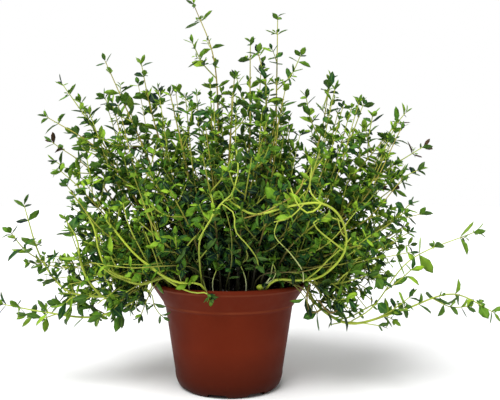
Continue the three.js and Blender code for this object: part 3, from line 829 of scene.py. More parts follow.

# Leafy stems: wiry stems rooted in the soil, upright in the middle, leaning out at the sides, and some
# trailing over the rim. Each grows along the same run as its solid, so the routes of the part's source
# are repeated here: points listed in millimetres, after the x and y of the foot.
LEADING_STEMS = {
    "crown_tall_left": [(-9, -5), (-8, -5, 180), (-12, -5, 252), (-27, -5, 292)],
    "crown_tall_right": [(19, 3), (35, 4, 145), (37, 5, 222), (38, 5, 285)],
    "crown_back": [(4, 9), (15, 12, 150), (17, 15, 267)],
    "crown_centre": [(7, -8), (23, -13, 155), (28, -14, 222), (22, -15, 253)],
    "crown_front": [(-1, -18), (-1, -22, 150), (4, -25, 234)],
    "crown_front_right": [(15, -15), (27, -18, 150), (42, -20, 226)],
    "crown_front_left": [(-16, -16), (-28, -24, 150), (-43, -30, 221)],
    "left_tall_inner": [(-20, 5), (-46, 8, 160), (-62, 10, 215), (-69, 10, 249)],
    "left_tall_outer": [(-25, -7), (-58, -9, 165), (-78, -10, 212), (-94, -10, 248)],
    "left_long": [(-33, 2), (-76, 1, 150), (-104, 0, 196), (-129, 0, 232)],
    "left_arching": [(-34, -9), (-72, -12, 145), (-99, -14, 181), (-137, -15, 205)],
    "left_wide": [(-42, 7), (-84, 7, 130), (-108, 6, 165), (-138, 5, 187)],
    "left_low": [(-44, -4), (-84, -13, 120), (-112, -18, 152), (-126, -20, 165)],
    "right_tall": [(27, -5), (55, -8, 148), (69, -10, 190), (77, -10, 234)],
    "right_inner": [(31, 5), (66, 5, 145), (90, 5, 180), (105, 5, 217)],
    "right_long": [(36, -4), (78, -5, 138), (113, -5, 182), (135, -5, 209)],
    "right_wide": [(38, -13), (78, -14, 125), (112, -13, 160), (147, -12, 183)],
    "right_back": [(43, 5), (49, 5, 88), (88, 7, 117), (117, 8, 142), (137, 8, 157)],
    "right_low": [(45, -6), (52, -7, 89), (86, -9, 105), (122, -10, 125), (146, -10, 132)],
    "right_lowest": [(45, 12), (52, 12, 88), (68, 12, 94), (98, 4, 98), (122, -3, 86)],
    "left_lowest": [(-45, 12), (-52, 12, 88), (-70, 14, 96), (-98, 9, 100), (-120, 5, 89)],
    "trail_left_low": [(-42, -13), (-56, -19, 87), (-67, -22, 71), (-99, -20, 56), (-138, -22, 60),
        (-166, -25, 66)],
    "trail_left_forked": [(-36, -23), (-50, -31, 87), (-66, -36, 78), (-93, -33, 73), (-119, -28, 77),
        (-139, -21, 99), (-154, -15, 139)],
    "trail_left_arc": [(-28, -33), (-43, -43, 88), (-63, -47, 84), (-80, -47, 92), (-88, -45, 110),
        (-101, -44, 133)],
    "trail_right_forked": [(38, -24), (52, -31, 87), (62, -36, 69), (86, -34, 54), (123, -28, 61),
        (166, -22, 73), (197, -20, 59)],
    "trail_right_short": [(33, -32), (42, -40, 88), (54, -44, 86), (76, -44, 84), (101, -38, 90)],
    "runner_left": [(-11, -44), (-20, -54, 85), (-37, -55, 87), (-61, -58, 103), (-84, -60, 130)],
    "runner_loop": [(19, -40), (31, -51, 87), (50, -48, 87), (64, -51, 90), (79, -61, 109),
        (74, -75, 132), (60, -84, 142), (38, -86, 140), (16, -85, 135), (0, -84, 144)],
}
FORKS = {
    "trail_left_forked": [(-93, -33, 73), (-101, -35, 84), (-107, -36, 101), (-118, -35, 131)],
    "trail_right_forked": [(86, -34, 54), (103, -34, 65), (131, -32, 99), (180, -30, 120)],
}
# The stems of the fans are placed by a rule instead. Its sizes are in millimetres too, up to TIP_SCATTER.
FANS = {
    "front": {"count": 6, "foot": (24, -36), "tip": (63, -96), "height": 168, "drop": 36},
    "fore": {"count": 6, "foot": (27, -27), "tip": (102, -60), "height": 206, "drop": 84},
    "rear": {"count": 7, "foot": (34, 19), "tip": (112, 44), "height": 222, "drop": 98},
    "back": {"count": 6, "foot": (31, 28), "tip": (92, 80), "height": 198, "drop": 82},
    "far_back": {"count": 5, "foot": (22, 38), "tip": (66, 108), "height": 158, "drop": 46},
}
MILLIMETRES = 1000
TIP_SCATTER = (12, 12, 19)
FOOT_BULGE = 0.12
TIP_BULGE = 0.2
MIDWAY_REACH = 0.4
MIDWAY_RISE = 0.55
ROOT_DEPTH = 0.009
CURVE_STEPS = 200
NEARBY = 1e-4
SHOOT_STARTS = (0.5, 0.74)
SHOOT_TURNS = (2.4, 2.1)
SHOOT_LENGTH = 0.030
SHOOT_LEAN = math.radians(38)
SHOOT_BOW = 0.2
SHOOT_RISE = 0.12
SHOOT_TRIES = 6
SHOOT_CLEAR_FROM = 0.2
STEM_CLEARANCE = 0.00035
RIM_CLEARANCE = 0.0015
SOLID_THICKNESS = 0.00135
SOLID_SHOOT_THICKNESS = 0.0008
RING_SPACING = 0.034
TIGHT_RING_SPACING = 0.012
LOW_START = 0.095


def metres(points):
    """The places of a list of points in millimetres."""
    return [Vector([part / MILLIMETRES for part in point]) for point in points]


def seeded(seed):
    """A number from 0 to 1 that depends on the seed alone; the solids draw theirs the same way."""
    limit = 0xFFFFFFFF
    mixed = (int(seed) + 0x6D2B79F5) & limit
    mixed = ((mixed ^ (mixed >> 15)) * (mixed | 1)) & limit
    mixed ^= (mixed + (((mixed ^ (mixed >> 7)) * (mixed | 61)) & limit)) & limit
    return ((mixed ^ (mixed >> 14)) & limit) / 2 ** 32


class Run:
    """A smooth curve through points, measured along its length."""

    def __init__(self, points):
        self.points = [Vector(point) for point in points]
        places = [self.at_span(i / CURVE_STEPS) for i in range(CURVE_STEPS + 1)]
        self.reached = [0.0]
        for before, after in zip(places, places[1:]):
            self.reached.append(self.reached[-1] + (after - before).length)
        self.length = self.reached[-1]

    def at_span(self, share):
        points = self.points
        last = len(points) - 1
        span = min(int(share * last), last - 1)
        weight = share * last - span
        start, end = points[span], points[span + 1]
        before = points[span - 1] if span > 0 else 2 * start - end
        after = points[span + 2] if span + 2 <= last else 2 * end - start
        gaps = [math.sqrt((b - a).length) for a, b in ((before, start), (start, end), (end, after))]
        leave = (start - before) / gaps[0] - (end - before) / (gaps[0] + gaps[1]) + (end - start) / gaps[1]
        arrive = (end - start) / gaps[1] - (after - start) / (gaps[1] + gaps[2]) + (after - end) / gaps[2]
        leave, arrive = leave * gaps[1], arrive * gaps[1]
        bend = 3 * (end - start) - 2 * leave - arrive
        curl = 2 * (start - end) + leave + arrive
        return start + weight * (leave + weight * (bend + weight * curl))

    def span_of(self, share):
        wanted = share * self.length
        low = bisect_right(self.reached, wanted, 1, CURVE_STEPS) - 1
        part = (wanted - self.reached[low]) / (self.reached[low + 1] - self.reached[low])
        return (low + min(1.0, max(0.0, part))) / CURVE_STEPS

    def at(self, share):
        return self.at_span(self.span_of(share))

    def heading(self, share):
        span = self.span_of(share)
        ahead, behind = min(1.0, span + NEARBY), max(0.0, span - NEARBY)
        return (self.at_span(ahead) - self.at_span(behind)).normalized()


def fan_stems(name, fan, seed):
    """The routes of a fan of stems, spread from side to side by a rule with seeded scatter."""
    routes = {}
    for i in range(fan["count"]):
        across = 2 * i / (fan["count"] - 1) - 1
        scatter = [spread * (seeded(seed + 10 * i + axis) - 0.5) for axis, spread in enumerate(TIP_SCATTER)]
        foot = (fan["foot"][0] * across, fan["foot"][1] * (1 - FOOT_BULGE * across * across))
        tip = (fan["tip"][0] * across + scatter[0],
               fan["tip"][1] * (1 - TIP_BULGE * across * across) + scatter[1],
               fan["height"] - fan["drop"] * across * across + scatter[2])
        midway = [part_way(ends, MIDWAY_REACH) for ends in zip(foot, tip)]
        midway.append(part_way((MILLIMETRES * SOIL_LEVEL, tip[2]), MIDWAY_RISE))
        routes[f"{name}_{i + 1}"] = [foot, midway, tip]
    return routes


def across_stem(along, turn):
    level = Vector((0.0, 0.0, 1.0)) if abs(along.z) < NEARLY_UPRIGHT else Vector((0.0, 1.0, 0.0))
    across = (level - along * level.dot(along)).normalized()
    return Quaternion(along, turn) @ across


def between(first, second):
    """The shortest distance between two straight lines, each given by its ends."""
    along_first, along_second = first[1] - first[0], second[1] - second[0]
    apart = first[0] - second[0]
    a, b, c = along_first.dot(along_first), along_first.dot(along_second), along_second.dot(along_second)
    d, e = along_first.dot(apart), along_second.dot(apart)
    spread = a * c - b * b
    share = min(1.0, max(0.0, (b * e - c * d) / spread)) if spread > 1e-12 else 0.0
    other = (b * share + e) / c
    if not 0.0 <= other <= 1.0:
        other = min(1.0, max(0.0, other))
        share = min(1.0, max(0.0, (b * other - d) / a))
    return (apart + along_first * share - along_second * other).length


taken = []


def is_clear(owner, ends, radius):
    """Whether a straight stretch keeps off the rim and the stems of other owners."""
    margin = radius + RIM_CLEARANCE
    if any(end.z < POT_HEIGHT + margin and end.xy.length < RIM_RADIUS + margin for end in ends):
        return False
    return all(other == owner or between(ends, other_ends) > radius + other_radius + STEM_CLEARANCE
               for other, other_ends, other_radius in taken)


def take(owner, run, spacing, radius):
    steps = max(1, round(run.length / spacing))
    rings = [run.at(i / steps) for i in range(steps + 1)]
    taken.extend((owner, ends, radius) for ends in zip(rings, rings[1:]))


def shoot_run(owner, run, start, phase):
    """A side shoot of a solid stem, on the first side of the stem where it is clear of the others."""
    origin, along = run.at(start), run.heading(start)
    forward, outward = SHOOT_LENGTH * math.cos(SHOOT_LEAN), SHOOT_LENGTH * math.sin(SHOOT_LEAN)
    for attempt in range(SHOOT_TRIES):
        across = across_stem(along, phase + attempt * 2 * math.pi / SHOOT_TRIES)
        middle = origin + along * forward / 2 + across * outward * (0.5 + SHOOT_BOW / 2)
        tip = origin + along * forward + across * outward
        tip.z += SHOOT_RISE * SHOOT_LENGTH
        stretches = ((origin.lerp(middle, SHOOT_CLEAR_FROM), middle), (middle, tip))
        if all(is_clear(owner, ends, SOLID_SHOOT_THICKNESS) for ends in stretches):
            return Run([origin, middle, tip])
    return None


routes = dict(LEADING_STEMS)
for i, (name, fan) in enumerate(FANS.items()):
    routes.update(fan_stems(name, fan, 1000 * (i + 1)))
growing = {}
for name, route in routes.items():
    foot, *way = metres(route)
    run = Run([(*foot, SOIL_LEVEL - ROOT_DEPTH), *way])
    take(name, run, TIGHT_RING_SPACING if way[0].z < LOW_START else RING_SPACING, SOLID_THICKNESS)
    growing[name] = {"index": len(growing), "main": run, "shoots": []}
    if name in FORKS:
        growing[name]["fork"] = Run(metres(FORKS[name]))
        take(name, growing[name]["fork"], RING_SPACING, SOLID_SHOOT_THICKNESS)
for name, stem in growing.items():
    for which, start in enumerate(SHOOT_STARTS):
        phase = SHOOT_TURNS[0] * stem["index"] + SHOOT_TURNS[1] * which
        shoot = shoot_run(name, stem["main"], start, phase)
        if shoot:
            take(name, shoot, RING_SPACING, SOLID_SHOOT_THICKNESS)
            stem["shoots"].append(shoot)

# The front shoots are set here too, as the stems behind leave them in sight. Each row gives a shoot's
# thickness at its foot and tip, its bare share, its age and its paleness, and then its points. Lengths are
# in millimetres.
FRONT_SHOOTS = [
    [(0.62, 0.56, 0.45, 0.14, 0.0), (-17, -40, 66), (-19, -48, 85), (-20, -62, 101), (-19, -77, 118),
     (-11, -86, 133), (-5, -87, 142), (1, -86, 147), (4, -80, 154), (6, -72, 164), (5, -62, 178)],
    [(0.48, 0.34, 0.50, 0.12, 0.0), (-5, -87, 142), (3, -90, 136), (4, -90, 125), (12, -84, 115),
     (18, -74, 106), (20, -66, 99)],
    [(0.46, 0.36, 0.70, 0.02, 0.7), (52, -49, 86), (51, -54, 94), (42, -62, 107), (31, -72, 119),
     (30, -76, 124), (33, -78, 132)],
    [(0.60, 0.50, 0.75, 0.05, 0.0), (60, -84, 142), (57, -87, 139), (51, -89, 136), (46, -88, 139),
     (43, -86, 144), (40, -80, 153)],
    [(0.60, 0.42, 0.45, 0.12, 0.0), (60, -84, 142), (55, -83, 146), (53, -79, 151), (54, -73, 157),
     (56, -66, 167)],
    [(0.60, 0.45, 0.80, 0.05, 0.0), (79, -60, 109), (68, -72, 117), (58, -79, 125), (55, -81, 129),
     (59, -82, 132)],
    [(0.65, 0.45, 0.50, 0.10, 0.0), (53, -49, 87), (62, -54, 95), (68, -56, 102), (78, -58, 111),
     (84, -58, 118)],
    [(0.44, 0.34, 0.60, 0.62, 0.0), (52, -64, 162), (45, -78, 149), (33, -87, 142), (21, -89, 136),
     (8, -84, 132)],
    [(0.50, 0.40, 0.35, 0.10, 0.0), (-20, -77, 118), (-16, -84, 125), (-10, -84, 136), (-11, -76, 144),
     (-14, -66, 153)],
    [(0.42, 0.36, 0.20, 0.30, 0.0), (-2, -40, 66), (-2, -48, 83), (1, -58, 96), (2, -64, 110),
     (1, -68, 124), (-2, -70, 136)],
    [(0.55, 0.42, 0.30, 0.18, 0.0), (-36, -30, 66), (-46, -38, 88), (-55, -52, 98), (-62, -60, 113),
     (-68, -64, 127), (-72, -64, 142)],
    [(0.52, 0.42, 0.20, 0.22, 0.0), (-32, -34, 66), (-39, -43, 88), (-47, -56, 101), (-51, -62, 116),
     (-53, -66, 129), (-58, -66, 140)],
    [(0.80, 0.50, 0.40, 0.08, 0.0), (-66, -46, 86), (-84, -52, 95), (-90, -56, 110), (-93, -56, 124),
     (-101, -52, 138)],
    [(0.75, 0.45, 0.25, 0.15, 0.0), (-92, -34, 74), (-100, -42, 86), (-105, -44, 99), (-108, -42, 115),
     (-117, -38, 129)],
    [(0.66, 0.48, 0.91, 0.08, 0.0), (-61, -58, 103), (-54.5, -57.5, 98.5), (-42.2, -55.5, 88),
     (-32, -53.2, 81.7), (-23.4, -57.3, 79.7), (-16.5, -60.8, 80.4), (-13.3, -63, 79)],
    [(0.45, 0.30, 0.88, 0.20, 0.0), (-17, -44, 68), (-18.5, -54, 89.5), (-16.5, -59.5, 84.5),
     (-14.5, -62.5, 79.5), (-12.5, -63.2, 76.5)],
    [(0.45, 0.32, 0.30, 0.20, 0.0), (-58.5, -46, 81.3), (-53.8, -50, 77), (-52.3, -51, 70.9),
     (-50.2, -51, 66.1), (-46.1, -50, 61.7)],
    [(0.60, 0.50, 0.75, 0.80, 0.0), (56.3, -46, 83.4), (54.6, -49, 75.5), (55.3, -49, 68.5),
     (59, -47, 63.9), (66.5, -44, 66.1)],
    [(0.65, 0.50, 0.60, 0.85, 0.0), (62.7, -46, 72.8), (66.1, -47, 68.8), (70.4, -46, 63.7),
     (79.5, -42, 65.8)],
    [(0.45, 0.35, 0.85, 0.15, 0.0), (72.2, -34, 52.7), (83.8, -34, 54.9), (96, -34, 54.1),
     (109.8, -34, 52)],
    [(0.60, 0.45, 0.40, 0.12, 0.0), (77.6, -32, 55.9), (87.7, -32, 58.1), (97.4, -31, 63),
     (105.6, -30, 67.1)],
]
SIGHT_STEPS = 14
in_sight = [points for _, *points in FRONT_SHOOTS]
in_sight += [LEADING_STEMS["runner_loop"][4:], LEADING_STEMS["runner_left"][2:]]
kept_in_sight = []
for points in in_sight:
    path = Run(metres(points))
    kept_in_sight += [path.at(i / SIGHT_STEPS) for i in range(SIGHT_STEPS + 1)]

# A habit says how a stalk is dressed: its thickness and age at foot and tip, the scale of its leaves, the
# gaps between their pairs, the bare share of its foot, how many sprigs it has, and where it branches.
HABIT = {"thickness": (0.00050, 0.00034), "ages": (0.30, 0.14), "age_spread": 0.32, "leaf": 1.0,
         "spacing": 0.0115, "bare": 0.12, "sprigs": 1.0, "bronze": 0.0, "pale": 0.0, "in_front": False,
         "branches": 0.24, "branch_start": 0.040, "upturn": 0.35}
HABITS = {
    "side": {"thickness": (0.00100, 0.00034), "ages": (0.85, 0.14), "leaf": 1.08},
    "fan": {"thickness": (0.00082, 0.00034), "ages": (0.85, 0.14), "leaf": 0.92},
    "crown": {"thickness": (0.00108, 0.00034), "ages": (0.95, 0.26), "leaf": 1.06, "spacing": 0.0155,
              "sprigs": 0.6, "branches": 0.32, "branch_start": 0.085},
    "trail": {"thickness": (0.00118, 0.00034), "ages": (0.12, 0.10), "age_spread": 0.1, "leaf": 1.22,
              "spacing": 0.0140, "sprigs": 0.6, "branches": 0.30, "branch_start": 0.070, "upturn": 0.10},
    "runner": {"thickness": (0.00085, 0.00070), "ages": (0.08, 0.02), "age_spread": 0.0, "leaf": 0.9,
               "bare": 0.72, "branches": 0.12, "in_front": True},
}
SHOOT_HABIT = {"spacing": 0.006, "bare": 0.25, "sprigs": 0.7}
BRANCH_HABIT = {"spacing": 0.009, "bare": 0.1, "sprigs": 0.5}
FORK_LEAF = 1.3
FORK_BARE = {"trail_left_forked": 0.12, "trail_right_forked": 0.55}
FULL_STEMS = {"left_low": 0.36, "left_lowest": 0.6, "right_low": 0.6, "right_lowest": 0.5, "right_back": 0.36}
BRONZE_TIPS = {"right_wide": 0.45, "right_long": 0.30, "right_back": 0.40, "left_wide": 0.30,
               "crown_front_right": 0.15}
BRONZE_REACH = 0.016
BRONZE_ELSEWHERE = 0.004
# Up to each distance from the tip, which sprig a leaf pair can hold, with its chance and its size.
SPRIG_KINDS = [(0.006, 0, 0.0, 0.0), (0.017, 0, 0.5, 0.6), (0.035, 0, 0.5, 0.85), (0.060, 1, 0.4, 1.0),
               (0.095, 2.2, 0.42, 1.0), (1.0, 3.6, 0.55, 1.0)]
STEM_SEED = 500
STEM_PIECE_SEED = 1000
SHOOT_PHASES = (90, 9)
SHOOT_SEEDS = (200, 50)
FORK_INDEX = 61
FIRST_PAIR = 0.0003
PAIR_GAPS = (0.15, 0.75, 1.45)
GAP_SPREAD = 0.5
PAIR_LIFTS = (0.4, 0.8, 1.0)
LEAF_LENGTH = 0.0108
STEP_LENGTH = 0.005
SAME_PLACE = 0.0004
TAPER = 1.5
BRANCH_LENGTHS = (0.016, 0.042)
BRANCH_LENGTH_SHARE = 0.55
BRANCH_LEANS = (math.radians(38), math.radians(68))
BRANCH_TURN = 0.8
BRANCH_TURN_SPREAD = 0.5
OLDER_FOOT_SHARE = 0.3
POT_MARGIN = 0.006
SOIL_MARGIN_SHARE = 0.5
RIM_MARGIN_SHARE = 0.6
FRONT_MARGIN_SHARE = 0.3
BRANCH_MARGIN_SHARE = 1.5
SIGHT_MARGINS = (0.0055, 0.004)
BARE_SOIL = 0.012
LOWEST_TIP = 0.058


def has_room(place, reach, in_front=False):
    """Whether a leaf or sprig of this reach keeps off the pot and the soil, and behind the front shoots."""
    aside, ahead = SIGHT_MARGINS
    if in_front:
        reach *= FRONT_MARGIN_SHARE
    elif any(place.y < shoot.y + ahead and (place.xz - shoot.xz).length < aside for shoot in kept_in_sight):
        return False
    from_axis = place.xy.length
    if from_axis < RIM_RADIUS - RIM_LIP - reach:
        return place.z > SOIL_LEVEL + SOIL_MARGIN_SHARE * reach + (BARE_SOIL if place.y < 0.0 else 0.0)
    return place.z > POT_HEIGHT + RIM_MARGIN_SHARE * reach or from_axis > RIM_RADIUS + reach


def pair_places(length, spacing, seed):
    """How far from the tip each pair of leaves sits: two close together, then at wider, nearly even gaps."""
    places = []
    from_tip = FIRST_PAIR
    while from_tip < length:
        gap = 1 + GAP_SPREAD * (seeded(seed + 7 * len(places)) - 0.5)
        if len(places) < len(PAIR_GAPS):
            gap = PAIR_GAPS[len(places)]
        places.append(from_tip)
        from_tip += spacing * gap
    return places


def stalk_line(run, phase, seed, habit):
    """The points of a stalk from foot to tip, with its pairs of leaves and its sprigs."""
    habit = {**HABIT, **habit}
    pairs = pair_places(run.length * (1 - habit["bare"]), habit["spacing"], seed)
    steps = math.ceil(run.length / STEP_LENGTH)
    plain = [run.length * i / steps for i in range(steps + 1)]
    plain = [distance for distance in plain if all(abs(distance - pair) > SAME_PLACE for pair in pairs)]
    line = []
    for from_tip in sorted([*pairs, *plain], reverse=True):
        share = 1 - from_tip / run.length
        place = run.at(share)
        point = {"thickness": part_way(habit["thickness"], max(0.0, share) ** TAPER),
                 "age": part_way(habit["ages"], share), "pale": habit["pale"] * (1 - share)}
        if from_tip in pairs and has_room(place, POT_MARGIN, habit["in_front"]):
            k = pairs.index(from_tip)
            kind, chance, size = next(entry[1:] for entry in SPRIG_KINDS if from_tip < entry[0])
            point.update(turn=phase + k * math.pi / 2, lift=PAIR_LIFTS[min(k, 2)],
                         leaf_size=LEAF_LENGTH * habit["leaf"] * leaf_growth(from_tip),
                         bronze=habit["bronze"] if from_tip < BRONZE_REACH else BRONZE_ELSEWHERE)
            if chance and has_room(place, 2 * POT_MARGIN, habit["in_front"]):
                point.update(sprig_size=size, sprig_kind=kind * habit["sprigs"],
                             sprig_share=chance * min(1.0, 2 * habit["sprigs"]))
        line.append((place, point))
    return line


def branch_runs(run, phase, seed, habit):
    """Side branches that leave a stem at its leaf pairs and turn upward, long below and short above."""
    branches = []
    for k, from_tip in enumerate(pair_places(run.length * (1 - HABIT["bare"]), habit["spacing"], seed)):
        if from_tip < habit["branch_start"]:
            continue
        share = 1 - from_tip / run.length
        for half in (0, 1):
            draws = [seeded(seed + 31 * k + 7 * half + 1000 * draw) for draw in range(4)]
            if draws[0] > habit["branches"]:
                continue
            origin, along = run.at(share), run.heading(share)
            length = min(part_way(BRANCH_LENGTHS, draws[1]), BRANCH_LENGTH_SHARE * from_tip)
            lean = part_way(BRANCH_LEANS, draws[2])
            turn = phase + k * math.pi / 2 + half * math.pi + BRANCH_TURN_SPREAD * (draws[3] - 0.5)
            across = across_stem(along, turn)
            direction = along * math.cos(lean) + across * math.sin(lean)
            middle = origin + direction * length * 0.5
            tip = middle + (direction + Vector((0.0, 0.0, habit["upturn"]))).normalized() * length * 0.5
            inside = all(low < value < high for low, value, high in zip(cad_box[0], tip, cad_box[1]))
            clear = all(has_room(place, BRANCH_MARGIN_SHARE * POT_MARGIN) for place in (middle, tip))
            if inside and clear and tip.z > LOWEST_TIP:
                branches.append(Run([origin, middle, tip]))
    return branches


def leafy_lines(run, index, habit):
    """A stem's own stalk and the stalks of its side branches."""
    seed = STEM_SEED * index
    older = habit["age_spread"] * seeded(seed + 3)
    ages = (habit["ages"][0] + OLDER_FOOT_SHARE * older, habit["ages"][1] + older)
    lines = [stalk_line(run, index, seed, {**habit, "ages": ages})]
    branch_habit = {**BRANCH_HABIT, "leaf": habit["leaf"]}
    for which, branch in enumerate(branch_runs(run, index, seed, habit)):
        lines.append(stalk_line(branch, BRANCH_TURN * which, seed + 17 * which, branch_habit))
    return lines


def stem_lines(name):
    """The stalks of a stem that stands for a solid, with its fork and its side shoots."""
    stem = growing[name]
    index = stem["index"]
    kind = name.split("_")[0]
    habit = {**HABIT, **HABITS.get("side" if kind in ("left", "right") else kind, HABITS["fan"])}
    habit["bronze"] = BRONZE_TIPS.get(name, 0.0)
    habit["branches"] = FULL_STEMS.get(name, habit["branches"])
    lines = leafy_lines(stem["main"], index, habit)
    if "fork" in stem:
        fork_changes = {"thickness": HABIT["thickness"], "leaf": FORK_LEAF, "bare": FORK_BARE[name]}
        lines += leafy_lines(stem["fork"], index + FORK_INDEX, {**habit, **fork_changes})
    shoot_habit = {**SHOOT_HABIT, "leaf": habit["leaf"]}
    for which, shoot in enumerate(stem["shoots"]):
        phase = index + SHOOT_PHASES[0] + SHOOT_PHASES[1] * which
        seed = STEM_SEED * index + SHOOT_SEEDS[0] + SHOOT_SEEDS[1] * which
        lines.append(stalk_line(shoot, phase, seed, shoot_habit))
    return lines


def thyme_piece(name, lines, seed, sprigs, *nodes, sides=STALK_SIDES):
    """A grown piece of the plant, which stands for the nodes that are given."""
    piece = grown_piece(name, lines, seed, sprigs, sides)
    placed(piece, "thyme", *nodes)
    return piece


STEM_GROUPS = {"crown_stems": "crown", "left_stems": "left", "right_stems": "right",
               "trailing_stems": ("trail", "runner"), "front_fan": "front", "fore_fan": "fore",
               "rear_fan": "rear", "back_fan": "back", "far_back_fan": "far_back"}
for i, (piece_name, beginnings) in enumerate(STEM_GROUPS.items()):
    members = [name for name in growing if name.startswith(beginnings)]
    lines = [line for name in members for line in stem_lines(name)]
    nodes = [f"stem_{name}" for name in members]
    thyme_piece(piece_name, lines, STEM_PIECE_SEED * (i + 1), sprig_collection, *nodes)

# Young stems: this year's thin shoots, grown up between the main stems so that the plant is full. Some are
# spread evenly by a rule, and the tips of the rest are listed, in millimetres. Short tufts stand
# all round inside the rim. All are rooted in the soil like the others.
YOUNG_STEMS = 16
YOUNG_HABIT = {**HABIT, "thickness": (0.00058, 0.00034), "ages": (0.60, 0.16), "leaf": 0.86, "bare": 0.36,
               "sprigs": 0.7, "branches": 0.12}
YOUNG_LENGTHS = (0.085, 0.150)
YOUNG_SPREAD = (math.radians(76), math.radians(44))
YOUNG_REACH = (0.146, 0.100)
YOUNG_HEIGHTS = (0.092, 0.240)
YOUNG_FOOT_SHARE = (0.30, 0.40)
YOUNG_FOOT_REACH = 0.042
YOUNG_OVER_RIM = (0.054, 0.087)
RIM_CROSSING_TURN = math.radians(28)
RIM_CROSSING_RISE = 0.012
OVER_SOIL_SHARE = 1.08
YOUNG_MIDDLE = (0.66, 0.46)
LOW_TIP = 0.125
GOLDEN_SHARE = 0.618034
PLACE_SEED = 7000
LENGTH_SEED = 7100
CROSSING_SEED = 7500
FIRST_YOUNG_INDEX = 100
YOUNG_PIECE_SEED = 20000
AIMED_TIPS = [
    (-75, 35, 237), (-52, -25, 224), (-45, 50, 232), (-31, -40, 216), (-26, 20, 227), (-81, -30, 213),
    (-59, 60, 211), (45, 40, 221), (79, -20, 226), (94, -35, 214), (124, -15, 196), (139, 40, 198),
    (121, -30, 128), (138, 30, 172), (127, -30, 159), (126, -30, 196), (-114, -28, 146), (-114, -20, 140),
    (-118, 50, 141), (133, -25, 119), (66, -40, 78), (79, -42, 84), (83, 12, 82), (93, 16, 67),
    (-86, -40, 83), (-71, -44, 85), (-68, 8, 71), (-105, -32, 98), (-96, -46, 90), (-86, -56, 104),
    (-74, -62, 100), (-97, -20, 76), (-66, -60, 94), (84, -52, 100), (105, -32, 105), (95, -24, 87),
    (68, -60, 100), (93, -10, 74), (75, -64, 113), (111, 24, 91), (-143, -22, 95), (-137, 5, 98),
    (-111, -5, 133), (-94, -45, 131), (-104, 20, 138), (-103, -30, 153), (-113, -10, 104), (-93, -50, 111),
    (-111, 10, 88), (-86, -55, 87), (-72, -52, 79), (-69, -20, 80), (-79, -40, 89), (-86, -25, 65),
    (-78, 0, 65), (59, -45, 85), (70, -10, 83), (78, -30, 77), (75, -20, 68), (79, -30, 66), (90, -25, 68),
    (83, -44, 82), (123, 0, 122), (120, -25, 185), (41, -20, 192), (47, 20, 199), (-13, -25, 207),
    (5, -40, 206), (24, -30, 207), (86, 10, 211), (91, -20, 211), (86, 50, 222), (108, -40, 103),
    (121, -15, 96), (98, -50, 115), (122, 10, 107), (130, -20, 123), (122, -35, 114), (-123, -30, 93),
    (-137, -20, 83), (-117, -35, 82), (-152, -10, 95), (-104, -35, 71), (-94, -42, 69), (-78, -38, 71),
    (-113, 20, 105), (-107, -35, 120), (-113, -25, 129), (25, -5, 249), (-14, -20, 229), (-11, -35, 215),
    (-6, 30, 230), (35, -20, 214), (43, 10, 211), (36, -40, 202), (47, 0, 196), (53, 30, 190),
    (53, -20, 192), (130, 15, 200), (130, 30, 190), (125, -15, 130), (64, -38, 70), (72, -36, 74),
    (86, -38, 62), (96, -34, 76), (88, -34, 74), (104, -34, 70), (68, -44, 78), (-72, -40, 74),
    (-64, -44, 74), (-78, -30, 66), (-104, -20, 208), (48, 15, 206), (112, -22, 100), (-97, 20, 214),
    (60, -48, 76), (58, -50, 67), (63, -46, 63), (56, -52, 74), (-84, -40, 64), (-70, -46, 66),
    (-62, -50, 62), (128, -30, 134), (98, -38, 80), (84, -46, 66), (100, -34, 64), (76, -48, 72),
    (110, -30, 84), (-88, -15, 216), (84, -25, 212), (64, -45, 176), (62, -50, 84), (138, -8, 108),
    (140, 12, 120), (112, -14, 92), (126, 10, 134), (118, -20, 88), (120, -5, 190), (70, -48, 176),
    (112, -26, 84),
]
BACK_TUFTS = 22
FRONT_TUFTS = 19
TUFT_FOOT = 0.040
TUFT_REACH = 0.012
TUFT_HEIGHTS = (0.016, 0.034)
TUFT_BOW = 0.002
TUFT_HABIT = {"spacing": 0.0065, "bare": 0.2, "sprigs": 0.9}
TUFT_SEEDS = {"reach": 7300, "height": 7400, "pairs": 8000}


def spread_tip(i):
    """The tip of one of the evenly spread young stems."""
    sides = (2 * (i + seeded(PLACE_SEED + i)) / YOUNG_STEMS - 1, 2 * ((i * GOLDEN_SHARE) % 1) - 1)
    sideways, depth = (side * spread for side, spread in zip(sides, YOUNG_SPREAD))
    direction = Vector((math.sin(sideways), math.sin(depth), math.cos(sideways) * math.cos(depth)))
    tip = Vector((sides[0] * YOUNG_FOOT_REACH, sides[1] * YOUNG_FOOT_REACH, SOIL_LEVEL))
    tip += direction.normalized() * part_way(YOUNG_LENGTHS, seeded(LENGTH_SEED + i))
    tip.xy /= max(1.0, math.hypot(tip.x / YOUNG_REACH[0], tip.y / YOUNG_REACH[1]))
    tip.z = min(max(tip.z, YOUNG_HEIGHTS[0]), YOUNG_HEIGHTS[1])
    return tip


